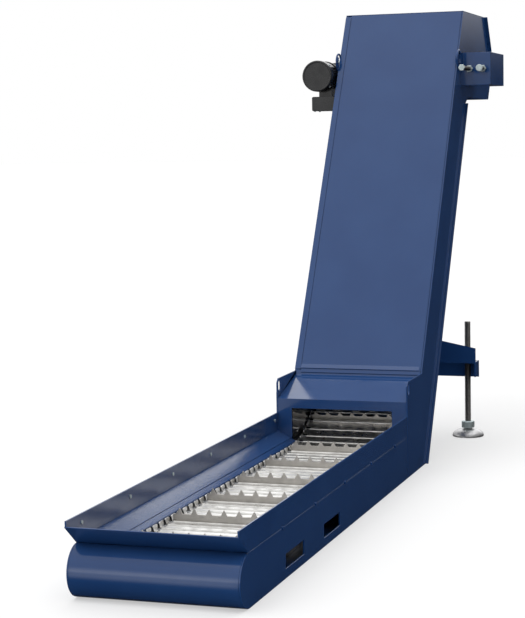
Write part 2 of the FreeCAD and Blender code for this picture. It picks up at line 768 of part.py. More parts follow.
def motor(front, x_mid, motor_z):
    """Finned motor with its cowl and fan, and the terminal box that hangs under it."""
    back = front + motor_length
    seat = front + cowl_length
    body = rod_y(motor_radius - fin_depth, seat, back - motor_rim, x_mid, motor_z)
    body = body.fuse(rod_y(motor_radius, back - motor_rim, back, x_mid, motor_z))
    reach = motor_radius - fin_inset
    for i in range(fin_count):
        z = motor_z + (i - (fin_count - 1) / 2) * fin_pitch
        half = math.sqrt(reach ** 2 - (abs(z - motor_z) + fin_thickness / 2) ** 2)
        body = body.fuse(block(x_mid - half, x_mid + half, seat + motor_rib_gap, back - motor_rim,
                               z - fin_thickness / 2, z + fin_thickness / 2))
    width, depth, tall = terminal_box_size
    neck_width, neck_depth = terminal_neck
    box_x = x_mid + terminal_shift
    box_y = front + terminal_lead
    box_top = motor_z - terminal_gap
    neck_y = seat + motor_rib_gap
    neck = block(box_x - neck_width / 2, box_x + neck_width / 2, neck_y, neck_y + neck_depth, box_top,
                 motor_z - neck_top_drop)
    body = body.fuse(neck).cut(rod_y(tail_shaft_radius, front, seat + 1.0, x_mid, motor_z))
    export("motor_body", [body.removeSplitter()])
    box = block(box_x - width / 2, box_x + width / 2, box_y, box_y + depth, box_top - tall, box_top)
    upright = [e for e in box.Edges if abs(e.tangentAt(e.FirstParameter).y) > 0.9]
    export("terminal_box", [box.makeChamfer(terminal_chamfer, upright)])
    gland_y = box_y + depth
    gland_z = box_top - tall / 2
    gland = hexagon(2 * gland_radius, V(box_x, gland_y, gland_z), V(0, 1, 0), gland_hex)
    gland = gland.fuse(rod_y(gland_nut_radius, gland_y + gland_hex, gland_y + gland_reach, box_x, gland_z))
    bore = rod_y(gland_bore_radius, gland_y + gland_hex / 2, gland_y + gland_reach + 1, box_x, gland_z)
    export("cable_gland", [gland.cut(bore).removeSplitter()])
    cowl = rod_y(motor_radius, front, seat, x_mid, motor_z)
    rim = [e for e in cowl.Edges if e.BoundBox.YMax < front + 0.01]
    cowl = cowl.makeChamfer(cowl_chamfer, rim)
    cowl = cowl.cut(rod_y(motor_radius - cowl_wall, front + cowl_face, seat + 1.0, x_mid, motor_z))
    export("fan_cowl", [cowl])
    hub_front = front + fan_front_gap
    blade_end = seat - fan_rear_gap
    hub_length = blade_end + fan_blade * 2 - hub_front
    fan = regular_prism(screw_sides, fan_hub_flats, V(x_mid, hub_front, motor_z), V(0, 1, 0), hub_length)
    for i in range(fan_blades):
        blade = block(x_mid - fan_blade / 2, x_mid + fan_blade / 2, hub_front, blade_end,
                      motor_z + fan_hub_radius, motor_z + fan_radius)
        blade.rotate(V(x_mid, 0, motor_z), V(0, 1, 0), 360 * i / fan_blades)
        fan = fan.fuse(blade)
    fan = fan.fuse(rod_y(fan_stub_radius, blade_end, seat + fan_stub_end, x_mid, motor_z))
    export("motor_fan", [fan.removeSplitter()])


def gearmotor():
    """Gearmotor outside the left bearing; the motor points to the front."""
    x_in = -half_width - bearing_thickness - gearbox_gap
    x_out = x_in - gearbox_width
    x_mid = (x_in + x_out) / 2
    motor_z = shaft_z - motor_drop
    gearbox(x_in, x_out, x_mid, motor_z)
    motor(shaft_y - gearbox_reach - gearbox_flange - motor_length, x_mid, motor_z)


def take_up():
    """Open channel on the side plate that carries the take-up screw, and the guard outside it."""
    y0 = incline_at_z(shaft_z, incline_depth)[0] + guard_front_gap
    y1 = y0 + guard_length
    z0 = shaft_z - guard_height / 2 - bracket_drop
    z1 = z0 + guard_height
    s = guard_sheet
    x0 = half_width
    x1 = x0 + bracket_width
    x2 = x1 + guard_width
    bracket = block(x0, x1, y0, y1, z0, z1).cut(block(x0 - 1, x1 + 1, y0 + s, y1 - s, z0 + s, z1 - s))
    mid = (z0 + z1) / 2
    places = (x0 + take_up_insets[0], x1 + take_up_insets[1])
    hole = take_up_screw_radius + seat_clearance
    bracket = bracket.cut(rod_y(hole, y0 - 1, y0 + s + 1, places[0], mid))
    export("take_up_bracket_right", [bracket])
    guard = block(x1, x2, y0, y1, z0, z1).cut(block(x1 - 1, x2 - s, y0 + s, y1 - s, z0 + s, z1 - s))
    guard = guard.cut(rod_y(hole, y0 - 1, y0 + s + 1, places[1], mid))
    export("shaft_guard_right", [guard])
    screws = []
    for x, reach in zip(places, take_up_reaches):
        head = regular_prism(screw_sides, 2 * take_up_head_radius, V(x, y0 - reach, mid), V(0, 1, 0),
                             take_up_head_height)
        nut = hexagon(take_up_nut_flats, V(x, y0 - take_up_nut_height, mid), V(0, 1, 0), take_up_nut_height)
        shank = rod_y(take_up_screw_radius, y0 - reach, y0 + take_up_depth, x, mid)
        screws.append(head.fuse(nut).fuse(shank).removeSplitter())
    export("take_up_screws", screws)


def lifting_eyes():
    """Welded ring eyes on the side plates beside the head."""
    y, z = incline_at_z(shaft_z + eye_rise, incline_depth)
    ring = rod_x(eye_outer, half_width, half_width + eye_thickness, y, z)
    ring = ring.cut(rod_x(eye_inner, half_width - 1, half_width + eye_thickness + 1, y, z))
    export("lifting_eyes", [ring, mirrored(ring)])


def rear_support():
    """Folded cross member behind the incline, on two arms, with the nuts for the levelling feet."""
    y0 = beam_front_y
    y1 = y0 + beam_depth
    z0 = beam_web_z
    s = sheet
    end = beam_half_length
    front = xz_prism([(-end, z0 + s), (end, z0 + s), (end, beam_end_top), (beam_taper_x, beam_top),
                      (-beam_taper_x, beam_top), (-end, beam_end_top)], y0, y0 + s)
    web = block(-end, end, y0, y1, z0, z0 + s)
    rear = block(-end, end, y1 - s, y1, z0 - beam_drop, z0)
    beam = front.fuse(web).fuse(rear)
    for x in (-end, end - s):
        beam = beam.fuse(block(x, x + s, y0, y1, z0 - beam_end_drop, z0))
    for x in (-foot_x, foot_x):
        beam = beam.cut(rod_z(rod_radius + running_clearance, z0 - 1, z0 + s + 1, x, foot_y))
    export("support_beam", [beam.removeSplitter()])
    low = incline_at_z(arm_low_z, -sheet)
    high = incline_at_z(arm_high_z, -sheet)
    arm = yz_prism([low, (y0, z0 + s), (y0, beam_top - arm_top_drop), high], arm_x, arm_x + arm_thickness)
    export("support_arms", [arm, mirrored(arm)])
    nuts = []
    for x in (-foot_x, foot_x):
        nut = hexagon(nut_flats, V(x, foot_y, z0 + s), V(0, 0, 1), nut_height)
        nuts.append(nut.cut(rod_z(rod_radius + running_clearance, z0, z0 + s + nut_height + 1, x, foot_y)))
    export("foot_nuts", nuts)


def ball_outline(radius, first):
    """Points up the side of the ball joint's ball, a few flats to the half circle."""
    points = []
    for i in range(first, 2):
        a = math.radians(ball_step * i)
        points.append((radius * math.cos(a), radius * math.sin(a)))
    return points


def turned(outline, x, z):
    """Round piece of a levelling foot: an outline of radius and height, turned about the spindle."""
    face = Part.Face(Part.makePolygon([V(r, 0, h) for r, h in outline + outline[:1]]))
    piece = face.revolve(V(0, 0, 0), V(0, 0, 1), 360)
    piece.translate(V(x, foot_y, z))
    return piece


def levelling_foot(name, x):
    """Threaded spindle with its hexagon, the ball it stands on and the round pad."""
    spindle = rod_z(rod_radius, hex_bottom + hex_height / 2, rod_top, x, foot_y)
    spindle = spindle.fuse(hexagon(hex_flats, V(x, foot_y, hex_bottom), V(0, 0, 1), hex_height, 15.0))
    export("spindle_" + name, [spindle.removeSplitter()])
    ball = ball_outline(ball_radius, -1)
    stem_top = hex_bottom - ball_centre_z
    ball = [(0.0, ball[0][1])] + ball + [(neck_radius, stem_top), (0.0, stem_top)]
    export("ball_stud_" + name, [turned(ball, x, ball_centre_z)])
    cup = ball_outline((ball_radius + ball_clearance) / math.cos(math.radians(ball_step / 2)), -2)
    rim_z = pad_height - ball_centre_z
    share = (rim_z - cup[-2][1]) / (cup[-1][1] - cup[-2][1])
    cup[-1] = (cup[-2][0] + share * (cup[-1][0] - cup[-2][0]), rim_z)
    base = -ball_centre_z
    crown = [(pad_radius, base + pad_edge), (pad_slope[0], base + pad_slope[1]),
             (pad_crown[0], base + pad_crown[1]), (pad_shoulder, rim_z)]
    pad = [(0.0, base), (pad_radius, base)] + crown + cup[::-1] + [(0.0, cup[0][1])]
    export("foot_pad_" + name, [turned(pad, x, ball_centre_z)])


def fasteners():
    """Flat-headed screws inside the collar walls and hexagon bolts under the seam outside."""
    screws = []
    for i in range(collar_screw_count):
        y = collar_screw_start + i * collar_screw_pitch
        for side in (-1, 1):
            x = side * inner_x
            screws.append(regular_prism(screw_sides, 2 * screw_head_radius, V(x, y, collar_screw_z),
                                        V(-side, 0, 0), screw_head_height))
    export("collar_screws", screws)
    bolts = []
    for i in range(seam_bolt_count):
        y = seam_bolt_start + i * seam_bolt_pitch
        for side in (-1, 1):
            x = side * half_width
            bolts.append(hexagon(seam_bolt_flats, V(x, y, seam_z), V(side, 0, 0), seam_bolt_height))
    export("seam_bolts", bolts)


trough()
collar()
chutes()
side_plates()
incline_sheets()
head()
belt()
rails()
drive()
gearmotor()
take_up()
lifting_eyes()
rear_support()
levelling_foot("left", -foot_x)
levelling_foot("right", foot_x)
fasteners()
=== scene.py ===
import json
import math

import bmesh
import bpy
from mathutils import Matrix, Vector


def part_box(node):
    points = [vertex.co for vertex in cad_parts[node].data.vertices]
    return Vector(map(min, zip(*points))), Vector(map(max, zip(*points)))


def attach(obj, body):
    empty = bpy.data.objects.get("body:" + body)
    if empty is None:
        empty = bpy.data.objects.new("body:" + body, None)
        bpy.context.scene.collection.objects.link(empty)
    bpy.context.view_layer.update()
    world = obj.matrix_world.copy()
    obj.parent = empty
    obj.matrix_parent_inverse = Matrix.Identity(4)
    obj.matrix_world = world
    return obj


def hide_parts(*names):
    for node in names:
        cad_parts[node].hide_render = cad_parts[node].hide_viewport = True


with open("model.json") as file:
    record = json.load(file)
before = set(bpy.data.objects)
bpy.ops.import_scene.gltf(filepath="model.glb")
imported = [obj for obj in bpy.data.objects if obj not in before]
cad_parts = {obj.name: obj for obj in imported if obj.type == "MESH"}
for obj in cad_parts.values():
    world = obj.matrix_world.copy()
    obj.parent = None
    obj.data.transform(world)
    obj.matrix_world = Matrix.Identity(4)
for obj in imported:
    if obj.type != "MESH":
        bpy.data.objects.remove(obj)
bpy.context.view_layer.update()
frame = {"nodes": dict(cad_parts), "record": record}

# Hinged steel belt chip conveyor: trough, steep incline and head. Lengths are in metres, and MM turns
# millimetres into them.
MM = 0.001

# Camera of the photograph: place in metres, turns in radians
CAMERA_PLACE = Vector((1.3342, -3.2733, 0.9743))
CAMERA_YAW = 0.32418
CAMERA_PITCH = 0.10062
CAMERA_ROLL = -0.01878
LENS_MM = 99.4
SENSOR_MM = 36.0

# Casing
HALF_WIDTH = 195 * MM
SEAM_Z = 118.5 * MM
TROUGH_LENGTH = 1389 * MM
REAR_CORNER_Y = 1608.7 * MM
SLOPE = math.radians(60)
INCLINE_DEPTH = 170 * MM
EDGE_ROUND = 0.9 * MM
FINE_EDGE = 0.4 * MM
FINE_SEAM = 0.3 * MM
WIDE_SEAM = 1.2 * MM

# Belt
PITCH = 38.1 * MM
TROUGH_LINKS = 35
KNEE_LINKS = 9
INCLINE_LINKS = 29
WHEEL_SIDES = 6
RETURN_LINKS = 75
RETURN_RADIUS = 250 * MM
RETURN_DEPTH = 37.9 * MM
CARRY_Z = 79 * MM
RETURN_Z = 39.5 * MM
LINKS_PER_CLEAT = 6
FIRST_CLEAT_LINK = 4
BELT_HALF_WIDTH = 146 * MM
PLATE_LOW = 0.8 * MM
PLATE_HIGH = 2.2 * MM
EYE_RADIUS = 5 * MM
PIN_RADIUS = 2.6 * MM
KNUCKLES = 9
KNUCKLE_GAP = 0.3 * MM
PLATE_GAP = 1.0 * MM
NECK_HIGH = 1.5 * MM
# Turn left open where a knuckle's curl ends, in radians
CURL_GAP = 0.05
WING_X = 132 * MM
WING_THICKNESS = 2.5 * MM
WING_HEIGHT = 14 * MM
WING_START = 3.5 * MM
WING_END = 29.6 * MM
WING_CORNER = 4 * MM
WING_FOOT_GAP = 0.5 * MM
NOTCH_INNER_X = 122 * MM
NOTCH_OUTER_X = 141 * MM
NOTCH_HALF = 8.5 * MM
CLEAT_HALF_WIDTH = 127 * MM
CLEAT_HEIGHT = 31 * MM
PLAIN_CLEAT_HEIGHT = 22.4 * MM
CLEAT_OFFSET = 8 * MM
CLEAT_THICKNESS = 3 * MM
TOOTH_COUNT = 7
TOOTH_PITCH = 37 * MM
TOOTH_BASE = 16 * MM
TOOTH_TIP = 1.6 * MM
TOOTH_HEIGHT = 13.5 * MM
# Riveted end of a hinge pin, as pairs of radius and height
RIVET = ((4.2 * MM, 0), (4.0 * MM, 1.4 * MM), (2.2 * MM, 2.4 * MM))

# Meshes: how near points are merged, and the turns that are dissolved as flat, rounded or shaded sharp
SAME_POINT = 0.002 * MM
FLAT_TURN = math.radians(0.4)
ROUNDED_TURN = math.radians(28)
SHARP_DEGREES = 35.0


def linear(text):
    """Linear colour of an sRGB hex string."""
    out = []
    for i in (1, 3, 5):
        v = int(text[i:i + 2], 16) / 255.0
        out.append(v / 12.92 if v <= 0.04045 else ((v + 0.055) / 1.055) ** 2.4)
    return (*out, 1.0)


def add(mat, kind, settings=None, **inputs):
    """A shader node with its settings. An input is a plain value, a hex colour or a socket to link;
    _6 means the input numbered 6."""
    n = mat.node_tree.nodes.new(kind)
    for key, value in (settings or {}).items():
        setattr(n, key, value)
    for key, value in inputs.items():
        socket = n.inputs[int(key[1:])] if key[0] == "_" else n.inputs[key.replace("_", " ")]
        if isinstance(value, bpy.types.NodeSocket):
            mat.node_tree.links.new(value, socket)
        else:
            socket.default_value = linear(value) if isinstance(value, str) else value
    return n


def begin(name):
    """A material, its shader and the place on the object in metres."""
    mat = bpy.data.materials.new(name)
    mat.use_nodes = True
    shader = mat.node_tree.nodes["Principled BSDF"]
    where = add(mat, "ShaderNodeTexCoord").outputs["Object"]
    return mat, shader, where


def joined(mat, shader, sockets):
    """Sockets linked to the shader's inputs of the same name."""
    for name, value in sockets.items():
        mat.node_tree.links.new(value, shader.inputs[name])


def powder_coat(name, one, two, dust, roughness):
    """Baked powder coat: an even colour that clouds a little every 180 mm, a hard gloss with duller handled
    patches of 30 mm, and thin dust in drifts of 40 mm on whatever faces up. The orange peel is drawn 3 mm
    wide, coarser than the real one, so that it shows."""
    mat, shader, where = begin(name)
    clouds = add(mat, "ShaderNodeTexNoise", Vector=where, Scale=1 / (180 * MM), Detail=3.0).outputs["Fac"]
    cloud = add(mat, "ShaderNodeMapRange", Value=clouds, From_Min=0.35, From_Max=0.65).outputs["Result"]
    body = add(mat, "ShaderNodeMix", {"data_type": "RGBA"}, _0=cloud, _6=one, _7=two).outputs[2]
    facing = add(mat, "ShaderNodeSeparateXYZ", Vector=add(mat, "ShaderNodeNewGeometry").outputs["Normal"])
    lying = add(mat, "ShaderNodeMapRange", Value=facing.outputs["Z"], From_Min=0.6, From_Max=1.0, To_Min=0.0,
                To_Max=dust).outputs["Result"]
    specks = add(mat, "ShaderNodeTexNoise", Vector=where, Scale=1 / (40 * MM), Detail=5.0).outputs["Fac"]
    dusty = add(mat, "ShaderNodeMath", {"operation": "MULTIPLY"}, _0=lying, _1=specks).outputs["Value"]
    colour = add(mat, "ShaderNodeMix", {"data_type": "RGBA"}, _0=dusty, _6=body, _7=DUST).outputs[2]
    touched = add(mat, "ShaderNodeTexNoise", Vector=where, Scale=1 / (30 * MM), Detail=4.0).outputs["Fac"]
    gloss = add(mat, "ShaderNodeMapRange", Value=touched, From_Min=0.35, From_Max=0.65,
                To_Min=roughness * 0.8, To_Max=roughness * 1.2).outputs["Result"]
    peel = add(mat, "ShaderNodeTexNoise", Vector=where, Scale=1 / (3 * MM), Detail=1.0).outputs["Fac"]
    skin = add(mat, "ShaderNodeBump", Height=peel, Strength=0.1, Distance=0.06 * MM).outputs["Normal"]
    joined(mat, shader, {"Base Color": colour, "Roughness": gloss, "Normal": skin})
    shader.inputs["IOR"].default_value = 1.5
    return mat


def pitted(mat, pit, depth):
    """Pits in a paint where chips strike it, over its orange peel, drawn coarser than the real ones so that
    they show."""
    shader = mat.node_tree.nodes["Principled BSDF"]
    peel = shader.inputs["Normal"].links[0].from_socket
    where = add(mat, "ShaderNodeTexCoord").outputs["Object"]
    pits = add(mat, "ShaderNodeTexNoise", Vector=where, Scale=1 / pit, Detail=2.0).outputs["Fac"]
    struck = add(mat, "ShaderNodeBump", Height=pits, Normal=peel, Strength=1.0, Distance=depth)
    joined(mat, shader, {"Normal": struck.outputs["Normal"]})


def rolled_steel(name, one, two, roughness, grain, patch=20 * MM, line=1.2 * MM, depth=0.03 * MM):
    """Bare steel: lines along the grain, and patches that shine a little more or less. The lines are drawn
    coarser than rolling leaves them, so that they show."""
    mat, shader, where = begin(name)
    patches = add(mat, "ShaderNodeTexNoise", Vector=where, Scale=1 / patch, Detail=4.0).outputs["Fac"]
    drawn = add(mat, "ShaderNodeMapping", Vector=where, Scale=[1 / s for s in grain]).outputs["Vector"]
    lines = add(mat, "ShaderNodeTexNoise", Vector=drawn, Scale=1 / line, Detail=2.0).outputs["Fac"]
    both = add(mat, "ShaderNodeMix", _0=0.5, _2=patches, _3=lines).outputs[0]
    worn = add(mat, "ShaderNodeMapRange", Value=both, From_Min=0.4, From_Max=0.6).outputs["Result"]
    colour = add(mat, "ShaderNodeMix", {"data_type": "RGBA"}, _0=worn, _6=one, _7=two).outputs[2]
    gloss = add(mat, "ShaderNodeMapRange", Value=patches, From_Min=0.35, From_Max=0.65,
                To_Min=roughness - 0.05, To_Max=roughness + 0.07).outputs["Result"]
    skin = add(mat, "ShaderNodeBump", Height=lines, Strength=0.15, Distance=depth).outputs["Normal"]
    joined(mat, shader, {"Base Color": colour, "Roughness": gloss, "Normal": skin})
    shader.inputs["Metallic"].default_value = 1.0
    return mat


def grained(name, one, two, patch, grain, depth, roughness, metallic):
    """Cast, moulded or plated skin: an even colour with faint patches, and a fine grain drawn coarse enough
    to show."""
    mat, shader, where = begin(name)
    patches = add(mat, "ShaderNodeTexNoise", Vector=where, Scale=1 / patch, Detail=4.0).outputs["Fac"]
    worn = add(mat, "ShaderNodeMapRange", Value=patches, From_Min=0.35, From_Max=0.65).outputs["Result"]
    colour = add(mat, "ShaderNodeMix", {"data_type": "RGBA"}, _0=worn, _6=one, _7=two).outputs[2]
    grains = add(mat, "ShaderNodeTexNoise", Vector=where, Scale=1 / grain, Detail=3.0).outputs["Fac"]
    skin = add(mat, "ShaderNodeBump", Height=grains, Strength=0.3, Distance=depth).outputs["Normal"]
    joined(mat, shader, {"Base Color": colour, "Normal": skin})
    shader.inputs["Roughness"].default_value = roughness
    shader.inputs["Metallic"].default_value = metallic
    return mat


DUST = "#8FA3BF"
# How many times as long as wide the lines of a grain are, along X, Y and Z
ALONG_X = (30, 1, 1)
ALONG_Y = (1, 30, 1)
EVEN = (1, 1, 1)

# Even deep blue, semi-gloss, that mirrors the studio softly
blue_paint = powder_coat("deep_blue_powder_coat", "#1B3B6B", "#1F3F6F", dust=0.02, roughness=0.12)
# Inside of the collar, where flung chips have pitted the paint and break up what it mirrors
struck_paint = powder_coat("chip_struck_powder_coat", "#1B3B6B", "#1F3F6F", dust=0.02, roughness=0.12)
pitted(struck_paint, pit=4 * MM, depth=0.2 * MM)
# Near-black enamel of the motor, duller than the casing
motor_paint = powder_coat("black_motor_enamel", "#131416", "#191A1C", dust=0.01, roughness=0.28)
# Belt plates rolled bright, almost white under the studio
belt_steel = rolled_steel("bright_rolled_belt_steel", "#EAE9E7", "#CBCAC8", roughness=0.32,
                          grain=ALONG_X, line=2.4 * MM)
# Eyes rolled round the pins, duller than the plates between them
eye_steel = rolled_steel("rolled_eye_steel", "#CAC9C6", "#B4B3B0", roughness=0.36, grain=ALONG_X)
# Sheared cleats, a warm grey that stays dull beside the bright plates
cleat_steel = rolled_steel("dull_sheared_cleat_steel", "#CFCBC5", "#C2BEB8", roughness=0.5, grain=ALONG_X)
# Hinge pins, drawn and a little oiled
pin_steel = rolled_steel("drawn_pin_steel", "#A5A6A8", "#8B8C8F", roughness=0.28, grain=ALONG_X)
# Guide rails, dark with running
dark_steel = rolled_steel("dark_rail_steel", "#5A5B5F", "#47484D", roughness=0.42, grain=ALONG_Y)
# Bolts and hexagons, bright zinc: pale, a little blue and softly mottled
zinc = grained("bright_zinc_plate", "#C0CCCE", "#AEBBBD", patch=10 * MM, grain=1.2 * MM, depth=0.02 * MM,
               roughness=0.34, metallic=0.6)
# Spindle threads, plain and grey
thread_steel = rolled_steel("plain_thread_steel", "#848280", "#6E6C6A", roughness=0.46, grain=EVEN,
                            patch=6 * MM)
# Pads and balls, finely brushed so that they look smooth and pale
polished = rolled_steel("brushed_stainless_steel", "#B9B9BA", "#A9A9AB", roughness=0.4, grain=EVEN,
                        patch=30 * MM, depth=0.005 * MM)
# Side liners of the knee, rubbed by the chips until they mirror the cleats
liner_steel = rolled_steel("rubbed_liner_steel", "#D6D6D6", "#C6C6C7", roughness=0.12, grain=ALONG_Y,
                           patch=60 * MM, depth=0.01 * MM)
# Bearings and nuts, sand-cast with a grainy dull skin
iron = grained("grey_cast_iron", "#5E6064", "#4E5054", patch=10 * MM, grain=1.5 * MM, depth=0.2 * MM,
               roughness=0.55, metallic=0.4)
# Cable gland, black nylon with a spark-eroded grain
plastic = grained("black_moulded_nylon", "#15161A", "#1C1D20", patch=20 * MM, grain=0.6 * MM,
                  depth=0.05 * MM, roughness=0.5, metallic=0.0)

SLOT_MATERIALS = {
    "blue_paint": blue_paint, "motor_paint": motor_paint, "belt_steel": belt_steel, "dark_steel": dark_steel,
    "bright_steel": zinc, "spindle_steel": thread_steel, "polished_steel": polished, "bearing_iron": iron,
    "black_plastic": plastic,
}
SUBPARTS = {row["node"]: row["material_slot"] for row in frame["record"]["subparts"]}
for node, slot in SUBPARTS.items():
    skin = frame["nodes"][node].data
    skin.materials.clear()
    skin.materials.append(SLOT_MATERIALS[slot])


class Stock:
    """Metal worked up into one mesh: corner points and faces, in metres."""

    def __init__(self):
        self.points = []
        self.faces = []

    def rings(self, rings, capped=True):
        """Skin over rings of equally many points; capped closes both ends."""
        start = len(self.points)
        n = len(rings[0])
        for ring in rings:
            self.points += [tuple(p) for p in ring]
        for r in range(len(rings) - 1):
            for i in range(n):
                a = start + r * n + i
                b = start + r * n + (i + 1) % n
                self.faces.append((a, b, b + n, a + n))
        if capped:
            self.faces.append(tuple(range(start + n - 1, start - 1, -1)))
            last = start + (len(rings) - 1) * n
            self.faces.append(tuple(range(last, last + n)))

    def prism(self, outline, x_from, x_to, place):
        """An outline of (s, h) pairs run along X; place gives the point of x, s and h."""
        self.rings([[place(x, s, h) for s, h in outline] for x in (x_from, x_to)])

    def turned(self, profile, centre, axis, sides=32, closed=False):
        """A profile of (radius, height) pairs turned about an axis through the centre."""
        turn = Vector((0, 0, 1)).rotation_difference(Vector(axis))
        rings = []
        for r, h in profile:
            ring = []
            for i in range(sides):
                a = 2 * math.pi * i / sides
                ring.append(turn @ Vector((r * math.cos(a), r * math.sin(a), h)) + Vector(centre))
            rings.append(ring)
        if closed:
            rings.append(rings[0])
        self.rings(rings, capped=not closed)

    def tube(self, path, radius, sides=12, closed=False):
        """Round bar along a path."""
        rings = []
        count = len(path)
        for i, p in enumerate(path):
            ahead = path[(i + 1) % count] if closed or i < count - 1 else p
            behind = path[i - 1] if closed or i > 0 else p
            way = (Vector(ahead) - Vector(behind)).normalized()
            turn = Vector((0, 0, 1)).rotation_difference(way)
            rings.append([turn @ Vector((radius * math.cos(2 * math.pi * k / sides),
                                         radius * math.sin(2 * math.pi * k / sides), 0)) + Vector(p)
                          for k in range(sides)])
        if closed:
            rings.append(rings[0])
        self.rings(rings, capped=not closed)

    def made(self, name, material, body, slot, bevel=0.0, sharp=SHARP_DEGREES, replaces=()):
        """The finished piece, riding on its body."""
        mesh = bpy.data.meshes.new(name)
        mesh.from_pydata(self.points, [], self.faces)
        return finished(mesh, name, material, body, slot, bevel, sharp, replaces)


def finished(mesh, name, material, body, slot, bevel, sharp, replaces):
    """A mesh with rounded edges, shaded smooth where it is round, parented to its body's empty, with the CAD
    pieces it replaces hidden.
    """
    work = bmesh.new()
    work.from_mesh(mesh)
    bmesh.ops.remove_doubles(work, verts=work.verts, dist=SAME_POINT)
    bmesh.ops.dissolve_limit(work, angle_limit=FLAT_TURN, verts=work.verts, edges=work.edges)
    bmesh.ops.recalc_face_normals(work, faces=work.faces)
    if bevel:
        corners = [e for e in work.edges if e.is_manifold and e.calc_face_angle(0.0) > ROUNDED_TURN]
        bmesh.ops.bevel(work, geom=corners, offset=bevel, offset_type="OFFSET", segments=2, profile=0.5,
                        affect="EDGES", clamp_overlap=True)
    work.to_mesh(mesh)
    work.free()
    mesh.shade_smooth()
    mesh.set_sharp_from_angle(angle=math.radians(sharp))
    mesh.materials.clear()
    mesh.materials.append(material)
    piece = bpy.data.objects.new(name, mesh)
    bpy.context.scene.collection.objects.link(piece)
    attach(piece, body)
    flats = piece.modifiers.new("even_flats", "WEIGHTED_NORMAL")
    flats.weight = 100
    flats.keep_sharp = True
    if replaces:
        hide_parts(*replaces)
    return piece


BODY_OF = {node: body for body, nodes in frame["record"]["behaviour"]["bodies"].items() for node in nodes}


def dressed(node, bevel=EDGE_ROUND, material=None):
    """The CAD piece with its edges broken, as sheared, folded and painted sheet has them."""
    source = frame["nodes"][node].data
    mesh = bpy.data.meshes.new("dressed_" + node)
    mesh.from_pydata([tuple(v.co) for v in source.vertices], [],
                     [tuple(p.vertices) for p in source.polygons])
    slot = SUBPARTS[node]
    return finished(mesh, "dressed_" + node, material or SLOT_MATERIALS[slot], BODY_OF[node], slot, bevel,
                    SHARP_DEGREES, (node,))


def centre_of(node):
    low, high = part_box(node)
    return (Vector(low) + Vector(high)) / 2


# Belt


def incline(q, c):
    """Point at distance q up the incline and c in front of its back plane."""
    return (REAR_CORNER_Y + q * math.cos(SLOPE) - c * math.sin(SLOPE),
            q * math.sin(SLOPE) + c * math.cos(SLOPE))


WHEEL_RADIUS = PITCH / (2 * math.sin(math.pi / WHEEL_SIDES))
SHAFT_DEPTH = RETURN_DEPTH + WHEEL_RADIUS
CARRY_RADIUS = PITCH / (2 * math.sin(SLOPE / KNEE_LINKS / 2))
KNEE_START_Y = TROUGH_LINKS * PITCH
CARRY_TANGENT = (KNEE_START_Y + CARRY_RADIUS * math.sin(SLOPE),
                 CARRY_Z + CARRY_RADIUS * (1 - math.cos(SLOPE)))
CARRY_Q = (CARRY_TANGENT[0] - REAR_CORNER_Y) * math.cos(SLOPE) + CARRY_TANGENT[1] * math.sin(SLOPE)
SHAFT_Q = CARRY_Q + INCLINE_LINKS * PITCH
SHAFT_Y, SHAFT_Z = incline(SHAFT_Q, SHAFT_DEPTH)
RETURN_MEET_Y = incline((RETURN_Z - RETURN_DEPTH * math.cos(SLOPE)) / math.sin(SLOPE), RETURN_DEPTH)[0]
RETURN_END_Y = RETURN_MEET_Y - RETURN_RADIUS * math.tan(SLOPE / 2)


def return_point(s):
    """Point of the return run at distance s from the drive wheels: incline, knee, then trough."""
    start = incline(SHAFT_Q, RETURN_DEPTH)
    turn_y = RETURN_END_Y + RETURN_RADIUS * math.sin(SLOPE)
    turn_z = RETURN_Z + RETURN_RADIUS * (1 - math.cos(SLOPE))
    straight = math.hypot(start[0] - turn_y, start[1] - turn_z)
    bend = RETURN_RADIUS * SLOPE
    if s <= straight:
        return (start[0] - math.cos(SLOPE) * s, start[1] - math.sin(SLOPE) * s)
    if s <= straight + bend:
        a = SLOPE - (s - straight) / RETURN_RADIUS
        return (RETURN_END_Y + RETURN_RADIUS * math.sin(a), RETURN_Z + RETURN_RADIUS * (1 - math.cos(a)))
    return (RETURN_END_Y - (s - straight - bend), RETURN_Z)


def belt_pins():
    """Hinge pins round the whole loop, in the order in which the belt travels. On the return run a few rounds
    settle each step until the pins stand one pitch apart. The last pin, at the tail, stands one pitch from
    both its neighbours."""
    pins = [(i * PITCH, CARRY_Z) for i in range(TROUGH_LINKS)]
    for i in range(KNEE_LINKS):
        a = SLOPE * i / KNEE_LINKS
        pins.append((KNEE_START_Y + CARRY_RADIUS * math.sin(a), CARRY_Z + CARRY_RADIUS * (1 - math.cos(a))))
    pins += [incline(CARRY_Q + i * PITCH, SHAFT_DEPTH + WHEEL_RADIUS) for i in range(INCLINE_LINKS)]
    for i in range(WHEEL_SIDES // 2):
        a = SLOPE + math.pi / 2 - 2 * math.pi * i / WHEEL_SIDES
        pins.append((SHAFT_Y + WHEEL_RADIUS * math.cos(a), SHAFT_Z + WHEEL_RADIUS * math.sin(a)))
    s = 0.0
    pins.append(return_point(s))
    for _ in range(RETURN_LINKS):
        step = PITCH
        here = pins[-1]
        for _ in range(5):
            there = return_point(s + step)
            step += PITCH - math.hypot(there[0] - here[0], there[1] - here[1])
        s += step
        pins.append(return_point(s))
    last = Vector((*pins[-1], 0))
    first = Vector((*pins[0], 0))
    across = (last - first).cross(Vector((0, 0, 1))).normalized()
    reach = math.sqrt(PITCH ** 2 - (last - first).length_squared / 4)
    top = (first + last) / 2 + across * reach
    if top.x > 0:
        top = (first + last) / 2 - across * reach
    pins.append((top.x, top.y))
    return pins


